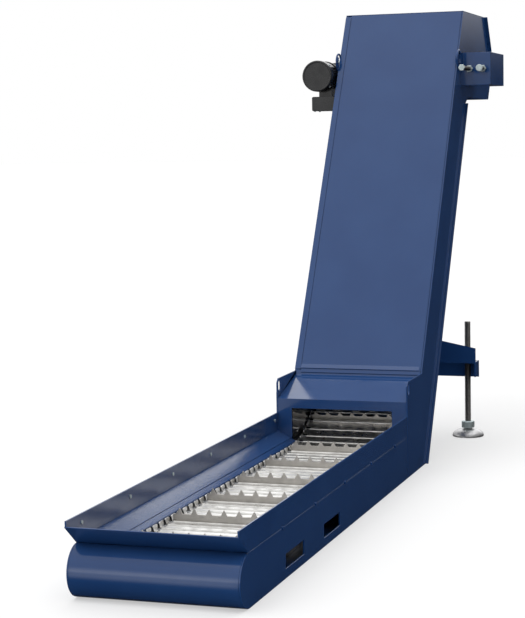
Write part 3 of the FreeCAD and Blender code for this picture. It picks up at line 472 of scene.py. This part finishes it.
def run_of(i, middle):
    """Name of the moving group of link i, whose middle is given as y and z."""
    if i < TROUGH_LINKS:
        return "belt_trough"
    if i < TROUGH_LINKS + KNEE_LINKS:
        return "belt_knee"
    if i < TROUGH_LINKS + KNEE_LINKS + INCLINE_LINKS:
        return "belt_incline"
    if i < TROUGH_LINKS + KNEE_LINKS + INCLINE_LINKS + WHEEL_SIDES // 2:
        return "belt_head"
    if i >= PIN_COUNT - 2:
        return "belt_tail"
    if middle[0] < RETURN_END_Y:
        return "return_trough"
    turn_y = RETURN_END_Y + RETURN_RADIUS * math.sin(SLOPE)
    turn_z = RETURN_Z + RETURN_RADIUS * (1 - math.cos(SLOPE))
    if (middle[0] - turn_y) * math.cos(SLOPE) + (middle[1] - turn_z) * math.sin(SLOPE) < 0:
        return "return_knee"
    return "return_incline"


RUN_BODIES = {"belt_trough": "belt_trough", "belt_knee": "belt_knee", "belt_incline": "belt_incline",
              "belt_head": "drive_shaft", "belt_tail": "tail", "return_trough": "return_trough",
              "return_knee": "return_knee", "return_incline": "return_incline"}
RUN_NODES = {"belt_trough": ("belt_trough_links", "belt_trough_cleats"),
             "belt_incline": ("belt_incline_links", "belt_incline_cleats")}
PINS = belt_pins()
PIN_COUNT = len(PINS)


def curl(root, sign):
    """Outline of a knuckle: the plate's edge rolled round the pin; sign -1 rolls the rear edge."""
    first = math.asin(NECK_HIGH / EYE_RADIUS)
    last = 2 * math.pi - CURL_GAP
    arc = [first + (last - first) * i / 12 for i in range(13)]
    outline = [(root, PLATE_LOW), (root, NECK_HIGH)]
    outline += [(EYE_RADIUS * math.cos(a), EYE_RADIUS * math.sin(a)) for a in arc]
    if sign < 0:
        outline = [(PITCH - s, h) for s, h in outline][::-1]
    return outline


def wing_outline():
    """Side wing of a link, its upper corners rounded."""
    top = PLATE_HIGH + WING_HEIGHT
    r = WING_CORNER
    points = [(NOTCH_HALF + WING_FOOT_GAP, PLATE_HIGH)]
    for centre, first in ((WING_START + r, 180), (WING_END - r, 90)):
        for k in range(4):
            a = math.radians(first - 30 * k)
            points.append((centre + r * math.cos(a), top - r + r * math.sin(a)))
    points.append((PITCH - NOTCH_HALF - WING_FOOT_GAP, PLATE_HIGH))
    return points


def cleat_outline(toothed):
    """Cleat seen along the belt: a straight lower part and rounded teeth."""
    top = PLATE_HIGH + CLEAT_HEIGHT
    valley = top - TOOTH_HEIGHT if toothed else PLATE_HIGH + PLAIN_CLEAT_HEIGHT
    points = [(-CLEAT_HALF_WIDTH, PLATE_HIGH), (CLEAT_HALF_WIDTH, PLATE_HIGH), (CLEAT_HALF_WIDTH, valley)]
    if toothed:
        for i in range(TOOTH_COUNT):
            x = ((TOOTH_COUNT - 1) / 2 - i) * TOOTH_PITCH
            points += [(x + TOOTH_BASE / 2, valley), (x + TOOTH_TIP, top - TOOTH_TIP),
                       (x + TOOTH_TIP / 2, top), (x - TOOTH_TIP / 2, top),
                       (x - TOOTH_TIP, top - TOOTH_TIP), (x - TOOTH_BASE / 2, valley)]
    points.append((-CLEAT_HALF_WIDTH, valley))
    return points


def belt():
    """The endless hinged belt: plates with rolled knuckles, riveted pins, side wings and toothed cleats."""
    root = EYE_RADIUS + PLATE_GAP
    width = 2 * NOTCH_INNER_X / KNUCKLES
    rim = (BELT_HALF_WIDTH - NOTCH_OUTER_X) / 2
    strips = [(-NOTCH_INNER_X, NOTCH_INNER_X, root)]
    knuckles = [(-NOTCH_INNER_X + k * width, width, -1 if k % 2 else 1) for k in range(KNUCKLES)]
    for edge in (-BELT_HALF_WIDTH, NOTCH_OUTER_X):
        strips += [(edge, edge + 2 * rim, root)]
        knuckles += [(edge, rim, 1), (edge + rim, rim, -1)]
    strips += [(-NOTCH_OUTER_X, -NOTCH_INNER_X, NOTCH_HALF), (NOTCH_INNER_X, NOTCH_OUTER_X, NOTCH_HALF)]
    far_end = 2 * BELT_HALF_WIDTH
    pin = [(r, -h) for r, h in reversed(RIVET)] + [(PIN_RADIUS, 0), (PIN_RADIUS, far_end)]
    pin += [(r, far_end + h) for r, h in RIVET]
    upper_runs = ("belt_trough", "belt_knee", "belt_incline")
    stocks = {}
    for i, a in enumerate(PINS):
        b = PINS[(i + 1) % PIN_COUNT]
        run = run_of(i, ((a[0] + b[0]) / 2, (a[1] + b[1]) / 2))
        plates, eyes, pins, wings, cleats = stocks.setdefault(run, [Stock() for _ in range(5)])
        along = Vector((0, b[0] - a[0], b[1] - a[1])).normalized()
        outward = Vector((0, -along.z, along.y))

        def place(x, s, h):
            return Vector((x, a[0], a[1])) + along * s + outward * h

        for x_from, x_to, start in strips:
            plates.prism([(start, PLATE_LOW), (PITCH - start, PLATE_LOW), (PITCH - start, PLATE_HIGH),
                          (start, PLATE_HIGH)], x_from, x_to, place)
        for x, wide, sign in knuckles:
            eyes.prism(curl(root, sign), x + KNUCKLE_GAP / 2, x + wide - KNUCKLE_GAP / 2, place)
        pins.turned(pin, (-BELT_HALF_WIDTH, a[0], a[1]), (1, 0, 0), sides=12)
        for side in (1, -1):
            x = side * WING_X
            wings.prism(wing_outline(), x - side * WING_THICKNESS, x, place)
        if i % LINKS_PER_CLEAT == FIRST_CLEAT_LINK and i < PIN_COUNT - LINKS_PER_CLEAT:
            outline = cleat_outline(run in upper_runs)
            cleats.rings([[place(x, CLEAT_OFFSET + s, h) for x, h in outline]
                          for s in (-CLEAT_THICKNESS / 2, CLEAT_THICKNESS / 2)])
    for run, (plates, eyes, pins, wings, cleats) in stocks.items():
        body = RUN_BODIES[run]
        plates.made(run + "_plates", belt_steel, body, "belt_steel",
                    replaces=RUN_NODES.get(run, (run,)))
        eyes.made(run + "_eyes", eye_steel, body, "belt_steel")
        pins.made(run + "_pins", pin_steel, body, "belt_steel")
        if run in upper_runs:
            wings.made(run + "_wings", belt_steel, body, "belt_steel", bevel=FINE_EDGE)
        if cleats.points:
            cleats.made(run + "_teeth", cleat_steel, body, "belt_steel", bevel=0.5 * MM)


belt()


# Round and threaded pieces


def thread(stock, centre, axis, radius, length, pitch, depth, sides=24):
    """Screw thread along an axis from the centre: a rolled ridge that climbs one pitch a turn, with four
    rings to the pitch."""
    turn = Vector((0, 0, 1)).rotation_difference(Vector(axis))
    rings = []
    steps = max(2, int(length / pitch * 4))
    for k in range(steps + 1):
        h = length * k / steps
        ring = []
        for i in range(sides):
            phase = (h / pitch - i / sides) % 1.0
            r = radius - depth * abs(2 * phase - 1)
            a = 2 * math.pi * i / sides
            ring.append(turn @ Vector((r * math.cos(a), r * math.sin(a), h)) + Vector(centre))
        rings.append(ring)
    stock.rings(rings)


def hexagon(stock, centre, axis, flats, height, turn=0.0):
    """Hexagon with chamfered corners, standing on its centre and turned about its axis by some degrees."""
    corner = flats / math.sqrt(3)
    chamfer = min(height * 0.2, corner * 0.12)
    way = Vector((0, 0, 1)).rotation_difference(Vector(axis))
    turns = [math.radians(60 * i + turn) for i in range(6)]
    rings = []
    for r, h in ((corner - chamfer, 0), (corner, chamfer), (corner, height - chamfer),
                 (corner - chamfer, height)):
        rings.append([way @ Vector((r * math.cos(a), r * math.sin(a), h)) + Vector(centre) for a in turns])
    stock.rings(rings)


def bolt(stock, centre, axis, flats, height):
    """Hexagon bolt head on its washer."""
    washer = 1.5 * MM
    washer_radius = flats * 0.72
    stock.turned([(washer_radius, 0), (washer_radius, washer)], centre, axis, sides=20)
    hexagon(stock, Vector(centre) + Vector(axis) * washer, axis, flats, height)


def bead(stock, start, end, radius=2.2 * MM):
    """Weld bead from start to end, with a ripple about every 8 mm and thin ends."""
    start, end = Vector(start), Vector(end)
    steps = max(4, int((end - start).length / (2.5 * MM)))
    turn = Vector((0, 0, 1)).rotation_difference((end - start).normalized())
    turns = [2 * math.pi * i / 8 for i in range(8)]
    rings = []
    for k in range(steps + 1):
        ripple = 0.86 + 0.14 * math.sin(k * 1.9)
        r = radius * ripple * (0.5 if k in (0, steps) else 1.0)
        p = start.lerp(end, k / steps)
        rings.append([turn @ Vector((r * math.cos(a), r * math.sin(a), 0)) + p for a in turns])
    stock.rings(rings)


# Levelling foot
ROD_RADIUS = 10 * MM
ROD_TOP = 371 * MM
THREAD_PITCH = 2.5 * MM
THREAD_DEPTH = 1.3 * MM
HEX_FLATS = 36 * MM
HEX_BOTTOM = 26 * MM
HEX_HEIGHT = 23 * MM
HEX_DEGREES = 15.0
BALL_RADIUS = 12 * MM
BALL_CENTRE_Z = 14 * MM
BALL_NECK = 7 * MM
PAD_RADIUS = 50 * MM
PAD_HEIGHT = 23.2 * MM
PAD_SHOULDER = 13 * MM
CUP_RADIUS = 12.6 * MM
CUP_FLOOR_Z = 6 * MM
MOUTH_RADIUS = 12.7 * MM
MOUTH_DROP = 1 * MM
SOLE_WIDTH = 2 * MM
SOLE_HOLLOW = 0.8 * MM
SOLE_CHAMFER = 0.6 * MM
DOME_START_Z = 3.6 * MM


def levelling_foot(side):
    """Threaded spindle with its hexagon, ball stud and domed pad, which is hollow underneath within a narrow
    sole."""
    spot = centre_of("foot_pad_" + side)
    x, y = spot.x, spot.y
    up = (0, 0, 1)
    hex_top = HEX_BOTTOM + HEX_HEIGHT
    rod = Stock()
    thread(rod, (x, y, hex_top), up, ROD_RADIUS, ROD_TOP - hex_top, THREAD_PITCH, THREAD_DEPTH)
    rod.made("thread_" + side, thread_steel, "spindle_" + side, "spindle_steel", sharp=50,
             replaces=("spindle_" + side,))
    grip = Stock()
    hexagon(grip, (x, y, HEX_BOTTOM), up, HEX_FLATS, HEX_HEIGHT, HEX_DEGREES)
    grip.made("spindle_hexagon_" + side, zinc, "spindle_" + side, "spindle_steel", bevel=FINE_EDGE)
    stud = Stock()
    # The ball's arc, from just off its bottom up to the neck
    profile = []
    for k in range(13):
        a = math.radians(-86 + 140 * k / 12)
        profile.append((BALL_RADIUS * math.cos(a), BALL_RADIUS * math.sin(a)))
    profile.append((BALL_NECK, HEX_BOTTOM - BALL_CENTRE_Z))
    stud.turned(profile, (x, y, BALL_CENTRE_Z), up, sides=32)
    stud.made("ball_" + side, polished, "ball_stud_" + side, "polished_steel",
              replaces=("ball_stud_" + side,))
    pad = Stock()
    sole_inner = PAD_RADIUS - SOLE_WIDTH
    profile = [(CUP_RADIUS, CUP_FLOOR_Z), (CUP_RADIUS, SOLE_HOLLOW), (sole_inner, SOLE_HOLLOW),
               (sole_inner, 0), (PAD_RADIUS - SOLE_CHAMFER, 0), (PAD_RADIUS, SOLE_HOLLOW),
               (PAD_RADIUS, DOME_START_Z - FINE_EDGE)]
    reach = PAD_RADIUS - PAD_SHOULDER
    rise = PAD_HEIGHT - DOME_START_Z
    # The dome, a quarter of a slightly squared ellipse
    for k in range(13):
        a = math.radians(90 * k / 12)
        profile.append((PAD_SHOULDER + reach * math.cos(a) ** 0.86,
                        DOME_START_Z + rise * math.sin(a) ** 1.12))
    profile += [(MOUTH_RADIUS, PAD_HEIGHT - MOUTH_DROP), (MOUTH_RADIUS, BALL_CENTRE_Z)]
    pad.turned(profile, (x, y, 0), up, sides=72, closed=True)
    pad.made("domed_pad_" + side, polished, "foot_pad_" + side, "polished_steel",
             replaces=("foot_pad_" + side,))


for side in ("left", "right"):
    levelling_foot(side)


def lifting_eyes():
    """Round-bar rings welded beside the head, sunk a little into their welds."""
    low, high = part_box("lifting_eyes")
    y, z = (low[1] + high[1]) / 2, (low[2] + high[2]) / 2
    ring = 27.5 * MM
    bar = 3.2 * MM
    beside = HALF_WIDTH + bar * 0.86
    eyes = Stock()
    for x in (-beside, beside):
        path = [(x, y + ring * math.cos(2 * math.pi * k / 40), z + ring * math.sin(2 * math.pi * k / 40))
                for k in range(40)]
        eyes.tube(path, bar, sides=14, closed=True)
    eyes.made("ring_eyes", blue_paint, "frame", "blue_paint", replaces=("lifting_eyes",))


lifting_eyes()


# Gearmotor


def fan_cowl():
    """Pressed fan cowl: a plain dished cap with a rolled rim. The dish is given as pairs of millimetres, in
    from the rim and back from the front."""
    low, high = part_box("fan_cowl")
    x, z = (low[0] + high[0]) / 2, (low[2] + high[2]) / 2
    r = (high[0] - low[0]) / 2
    front, back = low[1], high[1]
    depth = back - front
    wall = 1.6 * MM
    middle = 1 * MM
    skirt = 5 * MM
    dish = ((8, 1.4), (6.5, 0.4), (4, 0.1), (1.6, 0.8), (0.4, 2.4))
    profile = [(middle, 1.4 * MM)] + [(r - inward * MM, h * MM) for inward, h in dish]
    profile += [(r, skirt), (r, depth), (r - wall, depth), (r - wall, skirt)]
    profile += [(r - 4 * MM, 3 * MM), (middle, 3 * MM)]
    cowl = Stock()
    cowl.turned(profile, (x, front, z), (0, 1, 0), sides=72)
    cowl.made("dished_fan_cowl", motor_paint, "frame", "motor_paint", replaces=("fan_cowl",))


fan_cowl()


def motor_details():
    """Screws of the cowl, terminal box lid and gearbox cover, and the bolts of the bearings. The screw heads
    are pairs of radius and height."""
    cowl_screw = [(3.6 * MM, 0), (3.4 * MM, 1.2 * MM), (2 * MM, 1.9 * MM)]
    lid_screw = [(3.4 * MM, 0), (3.2 * MM, 1.4 * MM), (1.8 * MM, 2.1 * MM)]
    screw_inset = 6 * MM
    screw_sunk = 0.2 * MM
    lid_inset = 8 * MM
    bolt_circle = 21 * MM
    bearing_face = HALF_WIDTH + 13 * MM
    bolt_offset = 33 * MM
    heads = Stock()
    low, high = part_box("fan_cowl")
    x, z, r = (low[0] + high[0]) / 2, (low[2] + high[2]) / 2, (high[0] - low[0]) / 2
    for k in range(4):
        a = math.radians(45 + 90 * k)
        way = Vector((math.cos(a), 0, math.sin(a)))
        spot = Vector((x, high[1] - screw_inset, z)) + way * (r - screw_sunk)
        heads.turned(cowl_screw, spot, way, sides=14)
    low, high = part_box("terminal_box")
    for sx in (low[0] + lid_inset, high[0] - lid_inset):
        for sy in (low[1] + lid_inset, high[1] - lid_inset):
            heads.turned(lid_screw, (sx, sy, low[2]), (0, 0, -1), sides=14)
    low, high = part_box("gearbox")
    for k in range(6):
        a = math.radians(60 * k + 30)
        spot = (low[0], SHAFT_Y + bolt_circle * math.cos(a), SHAFT_Z + bolt_circle * math.sin(a))
        hexagon(heads, spot, (-1, 0, 0), flats=8 * MM, height=4 * MM)
    low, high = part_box("drive_bearings")
    mid_y, mid_z = (low[1] + high[1]) / 2, (low[2] + high[2]) / 2
    for sx in (-1, 1):
        for sy in (-1, 1):
            for sz in (-1, 1):
                spot = (sx * bearing_face, mid_y + sy * bolt_offset, mid_z + sz * bolt_offset)
                bolt(heads, spot, (sx, 0, 0), flats=13 * MM, height=6 * MM)
    heads.made("drive_screws_and_bolts", zinc, "frame", "bright_steel")


motor_details()


def take_up_screws():
    """Take-up screws, each with its nut: a hexagon-headed one in the bracket and a round-headed one in the
    guard."""
    low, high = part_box("take_up_bracket_right")
    guard_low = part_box("shaft_guard_right")[0]
    front = low[1]
    mid = (low[2] + high[2]) / 2
    rearward = (0, 1, 0)
    round_screw = [(9.5 * MM, 0), (11 * MM, 1.2 * MM), (11 * MM, 6 * MM)]
    nut_height = 10 * MM
    for name, x, reach, round_head in (("inner", low[0] + 28.7 * MM, 124 * MM, False),
                                       ("outer", guard_low[0] + 30.3 * MM, 60 * MM, True)):
        rod = Stock()
        thread(rod, (x, front - reach + 5 * MM, mid), rearward, radius=7 * MM, length=reach + 15 * MM,
               pitch=2 * MM, depth=1.0 * MM, sides=20)
        nodes = () if round_head else ("take_up_screws",)
        rod.made("take_up_thread_" + name, thread_steel, "frame", "bright_steel", sharp=50, replaces=nodes)
        head = Stock()
        if round_head:
            head.turned(round_screw, (x, front - reach, mid), rearward, sides=32)
        else:
            hexagon(head, (x, front - reach, mid), rearward, flats=19 * MM, height=8 * MM)
        hexagon(head, (x, front - nut_height, mid), rearward, flats=21 * MM, height=nut_height)
        head.made("take_up_head_" + name, zinc, "frame", "bright_steel", bevel=0.3 * MM)


take_up_screws()


def welds():
    """Beads where the arms meet the beam, and round the ring eyes."""
    beads = Stock()
    arm_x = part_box("support_arms")[1][0]
    arm_thickness = 6 * MM
    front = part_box("support_beam")[0][1] - 0.3 * MM
    bottom, top = 246 * MM, 308 * MM
    for sx in (-1, 1):
        for x in (arm_x, arm_x - arm_thickness):
            bead(beads, (sx * x, front, bottom), (sx * x, front, top))
    eye_low, eye_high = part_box("lifting_eyes")
    mid_y, mid_z = (eye_low[1] + eye_high[1]) / 2, (eye_low[2] + eye_high[2]) / 2
    ring = 23.5 * MM
    beside = HALF_WIDTH + 0.6 * MM
    for sx in (-1, 1):
        for opposite in (math.pi, 0):
            path = []
            for k in range(9):
                a = math.radians(-40 + 10 * k) + opposite
                path.append((sx * beside, mid_y + ring * math.cos(a), mid_z + ring * math.sin(a)))
            beads.tube(path, radius=4.4 * MM, sides=8)
    beads.made("weld_beads", blue_paint, "frame", "blue_paint", sharp=80)


welds()


# Casing details


def chute_overlays():
    """Upper sheets of the chutes, lapped over the lips: their lower edges show as a dark line. Both outlines
    are pairs of x and z in millimetres, for the right side."""
    laps = Stock()
    lap = [(190.8, 123.0), (151.6, 102.4), (150.7, 104.2), (189.9, 124.8)]
    lip = [(151.4, 102.6), (136.7, 94.9), (136.7, 94.0), (151.4, 101.7)]
    front, back = 4 * MM, TROUGH_LENGTH - 2 * MM
    for sx in (-1, 1):
        for sheet in (lap, lip):
            laps.rings([[(sx * x * MM, y, z * MM) for x, z in sheet] for y in (front, back)])
    laps.made("chute_laps", struck_paint, "frame", "blue_paint", bevel=FINE_EDGE)


def cover_edges():
    """Flange of the left side plate beside the cover, and the cover's turned-out hem above the knee."""
    flange_start, flange_end = 224 * MM, 1468 * MM
    flange_inner_x = -177 * MM
    hem_left_x, hem_right_x = -176 * MM, 186 * MM
    hem_start, hem_end = 226 * MM, 243 * MM
    hem_out = 6 * MM
    hem_lean = 1 * MM
    sheet = 2 * MM
    front = INCLINE_DEPTH
    edges = Stock()

    def place(x, q, c):
        return (x, *incline(q, c))

    edges.prism([(flange_start, front), (flange_end, front), (flange_end, front + sheet),
                 (flange_start, front + sheet)], -HALF_WIDTH, flange_inner_x, place)
    edges.prism([(hem_end, front), (hem_end + hem_lean, front + sheet), (hem_start, front + hem_out),
                 (hem_start - hem_lean, front + hem_out - sheet)], hem_left_x, hem_right_x, place)
    edges.made("cover_edges", blue_paint, "frame", "blue_paint", bevel=FINE_EDGE)


def side_seams():
    """Thin proud seams on both sides: under the collar, where trough meets knee, and up the back edge. Under
    the collar the right one starts in front of the side plate."""
    from_back = 5 * MM
    halfway = 700 * MM
    knee_z = [z * MM for z in (4, 120, 235)]
    back_q = [q * MM for q in (8, 300, 700, 1230)]
    seams = Stock()
    for sx, front in ((-1, 6 * MM), (1, -20 * MM)):
        x = sx * HALF_WIDTH
        below = [(x, y, SEAM_Z) for y in (front, halfway, TROUGH_LENGTH)]
        upright = [(x, TROUGH_LENGTH, z) for z in knee_z]
        up = [(x, *incline(q, from_back)) for q in back_q]
        for path, radius in ((below, FINE_SEAM), (upright, FINE_SEAM), (up, WIDE_SEAM)):
            seams.tube(path, radius, sides=8)
    seams.made("side_seams", blue_paint, "frame", "blue_paint", sharp=80)


def knee_liners():
    """Steel liners beside the belt in the knee, which mirror the cleats through the opening. A cheek narrows
    from the mouth to the bend, and a flat tail goes on up the incline."""
    gap = 7.5 * MM
    thickness = 0.8 * MM
    mouth, bend = TROUGH_LENGTH + 7 * MM, TROUGH_LENGTH + 90 * MM
    mouth_x, bend_x = 148.8 * MM, 135.6 * MM
    mouth_z, bend_z = 198 * MM, 220 * MM
    tail_reach, tail_depth, tail_start = 80 * MM, 140 * MM, 250 * MM
    path_radius = CARRY_RADIUS - gap
    start, end = [math.asin((y - KNEE_START_Y) / path_radius) for y in (mouth, bend)]

    def above_belt(a):
        return (KNEE_START_Y + path_radius * math.sin(a), CARRY_Z + CARRY_RADIUS - path_radius * math.cos(a))

    cheek = [(mouth_x, *above_belt(start)), (bend_x, *above_belt(end)), (bend_x, bend, bend_z),
             (mouth_x, mouth, mouth_z)]
    tail = [above_belt(end + (SLOPE - end) * k / 8) for k in range(9)]
    tail += [incline(CARRY_Q + tail_reach, SHAFT_DEPTH + WHEEL_RADIUS + gap),
             incline(CARRY_Q + tail_reach, tail_depth), incline(tail_start, tail_depth), (bend, bend_z)]
    liners = Stock()
    for sx in (-1, 1):
        liners.rings([[(sx * (x + t), y, z) for x, y, z in cheek] for t in (0, thickness)])
        liners.rings([[(sx * (bend_x + t), y, z) for y, z in tail] for t in (0, thickness)])
    liners.made("knee_liners", liner_steel, "frame", "dark_steel")


chute_overlays()
cover_edges()
side_seams()
knee_liners()

# CAD pieces with their edges broken: sheet and castings, then what chips strike, then small pieces
for node in ("nose_sheet", "front_flare", "trough_side_left", "trough_side_right", "trough_bottom",
             "end_plate", "side_plate_left", "side_plate_right", "incline_back_plate", "incline_cover",
             "knee_slope_plate", "head_top_plate", "head_hood", "take_up_bracket_right", "shaft_guard_right",
             "support_beam", "support_arms", "torque_arm", "gearbox", "terminal_box", "drive_bearings",
             "drive_wheels", "foot_nuts", "tail_bearings"):
    dressed(node)
for node in ("collar_wall_left", "collar_wall_right", "chute_left", "chute_right"):
    dressed(node, material=struck_paint)
for node in ("seam_bolts", "collar_screws", "cable_gland", "motor_body", "motor_fan"):
    dressed(node, bevel=FINE_EDGE)


# Studio: what the floor gives and shows, the strengths of sky, ground, panels and soft box
FLOOR_GLOW = 0.465
FLOOR_SEEN = 0.42
SKY = 0.95
GROUND = 0.02
RIGHT_DIM = 0.45
FRONT_PANEL = 1.6
BACK_PANEL = 0.95
TOP_PANEL = 0.9
SUN_STRENGTH = 0.9
SUN_WAY = Vector((0.45, 0.5, -1.0))
SUN_SPREAD = math.radians(50)


def sky():
    """White to the camera, and above the horizon white to gloss and glass too. The light comes from a studio:
    bright above the horizon and dark below it, the horizon higher at the back on the right, the right side
    dimmer, and bright panels in front on the left, at the back and overhead. Each edge of a panel is a part
    of the way a ray goes, where the edge starts and ends, and its strength before and after."""
    world = bpy.data.worlds.new("studio")
    bpy.context.scene.world = world
    world.use_nodes = True
    rays = add(world, "ShaderNodeLightPath").outputs
    mirrored = add(world, "ShaderNodeMath", {"operation": "MAXIMUM"}, _0=rays["Is Glossy Ray"],
                   _1=rays["Is Transmission Ray"]).outputs["Value"]
    upper = add(world, "ShaderNodeMix", _0=mirrored, _2=SKY, _3=1.0).outputs[0]
    way = add(world, "ShaderNodeSeparateXYZ", Vector=add(world, "ShaderNodeTexCoord").outputs["Generated"])
    x, y, z = way.outputs["X"], way.outputs["Y"], way.outputs["Z"]
    soft = {"interpolation_type": "SMOOTHSTEP"}
    right = add(world, "ShaderNodeMapRange", soft, Value=x, From_Min=-0.3, From_Max=0.1, To_Min=0.0,
                To_Max=0.07).outputs["Result"]
    behind = add(world, "ShaderNodeMapRange", soft, Value=y, From_Min=-0.4, From_Max=0.3).outputs["Result"]
    lift = add(world, "ShaderNodeMath", {"operation": "MULTIPLY"}, _0=right, _1=behind).outputs["Value"]
    height = add(world, "ShaderNodeMath", {"operation": "SUBTRACT"}, _0=z, _1=lift).outputs["Value"]
    level = add(world, "ShaderNodeMapRange", soft, Value=height, From_Min=-0.04, From_Max=0.05,
                To_Min=GROUND, To_Max=upper).outputs["Result"]
    shade = add(world, "ShaderNodeMapRange", soft, Value=x, From_Min=0.42, From_Max=0.75, To_Min=1.0,
                To_Max=RIGHT_DIM).outputs["Result"]
    level = add(world, "ShaderNodeMath", {"operation": "MULTIPLY"}, _0=level, _1=shade).outputs["Value"]
    front = ((y, -0.95, -0.7, 1.0, 0.0), (z, -0.55, -0.2, 0.0, 1.0), (z, 0.1, 0.4, 1.0, 0.0),
             (x, -0.34, -0.26, 1.0, 0.0))
    back = ((y, 0.6, 0.8, 0.0, 1.0), (z, 0.15, 0.3, 0.0, 1.0), (z, 0.6, 0.8, 1.0, 0.0),
            (x, 0.3, 0.5, 1.0, 0.0))
    top = ((y, -0.62, -0.2, 0.0, 1.0), (z, 0.7, 0.86, 0.0, 1.0), (x, -0.36, -0.29, 0.0, 1.0))
    for edges, strength in ((front, FRONT_PANEL), (back, BACK_PANEL), (top, TOP_PANEL)):
        panel = strength
        for value, start, end, low, high in edges:
            edge = add(world, "ShaderNodeMapRange", soft, Value=value, From_Min=start, From_Max=end,
                       To_Min=low, To_Max=high).outputs["Result"]
            product = add(world, "ShaderNodeMath", {"operation": "MULTIPLY"}, _0=edge, _1=panel)
            panel = product.outputs["Value"]
        level = add(world, "ShaderNodeMath", {"operation": "ADD"}, _0=level, _1=panel).outputs["Value"]
    shown = add(world, "ShaderNodeMix", _0=rays["Is Camera Ray"], _2=level, _3=1.0).outputs[0]
    background = world.node_tree.nodes["Background"]
    background.inputs["Color"].default_value = (1, 1, 1, 1)
    world.node_tree.links.new(shown, background.inputs["Strength"])


def floor():
    """Pale floor that shows the camera pure white where nothing shades it; no gloss shows it."""
    mesh = bpy.data.meshes.new("floor")
    reach = 60.0
    corners = [(-reach, -reach, 0), (reach, -reach, 0), (reach, reach, 0), (-reach, reach, 0)]
    mesh.from_pydata(corners, [], [(0, 1, 2, 3)])
    ground = bpy.data.objects.new("floor", mesh)
    bpy.context.scene.collection.objects.link(ground)
    mat, shader = begin("pale_floor")[:2]
    shader.inputs["Base Color"].default_value = (FLOOR_SEEN, FLOOR_SEEN, FLOOR_SEEN, 1)
    shader.inputs["Roughness"].default_value = 0.9
    shader.inputs["Specular IOR Level"].default_value = 0.0
    shader.inputs["Emission Color"].default_value = (1, 1, 1, 1)
    seen = add(mat, "ShaderNodeLightPath").outputs["Is Camera Ray"]
    glow = add(mat, "ShaderNodeMath", {"operation": "MULTIPLY"}, _0=seen, _1=FLOOR_GLOW).outputs["Value"]
    joined(mat, shader, {"Emission Strength": glow})
    mesh.materials.append(mat)
    ground.visible_glossy = False


def sun():
    """Broad soft box high on the left in front; no gloss shows it."""
    data = bpy.data.lights.new("soft_box", "SUN")
    data.energy = SUN_STRENGTH
    data.angle = SUN_SPREAD
    lamp = bpy.data.objects.new("soft_box", data)
    bpy.context.scene.collection.objects.link(lamp)
    lamp.rotation_euler = SUN_WAY.to_track_quat("-Z", "Y").to_euler()
    lamp.visible_glossy = False


def camera():
    """Camera where the photograph was taken."""
    data = bpy.data.cameras.new("photo_camera")
    data.lens = LENS_MM
    data.sensor_width = SENSOR_MM
    data.clip_end = 100.0
    cam = bpy.data.objects.new("photo_camera", data)
    bpy.context.scene.collection.objects.link(cam)
    forward = Vector((-math.sin(CAMERA_YAW) * math.cos(CAMERA_PITCH),
                      math.cos(CAMERA_YAW) * math.cos(CAMERA_PITCH), -math.sin(CAMERA_PITCH)))
    right = Vector((math.cos(CAMERA_YAW), math.sin(CAMERA_YAW), 0.0))
    up = right.cross(forward)
    rolled_right = right * math.cos(CAMERA_ROLL) + up * math.sin(CAMERA_ROLL)
    rolled_up = up * math.cos(CAMERA_ROLL) - right * math.sin(CAMERA_ROLL)
    turn = Matrix((rolled_right, rolled_up, -forward)).transposed()
    cam.matrix_world = Matrix.Translation(CAMERA_PLACE) @ turn.to_4x4()
    bpy.context.scene.camera = cam


sky()
floor()
sun()
camera()
bpy.context.scene.view_settings.view_transform = "Standard"
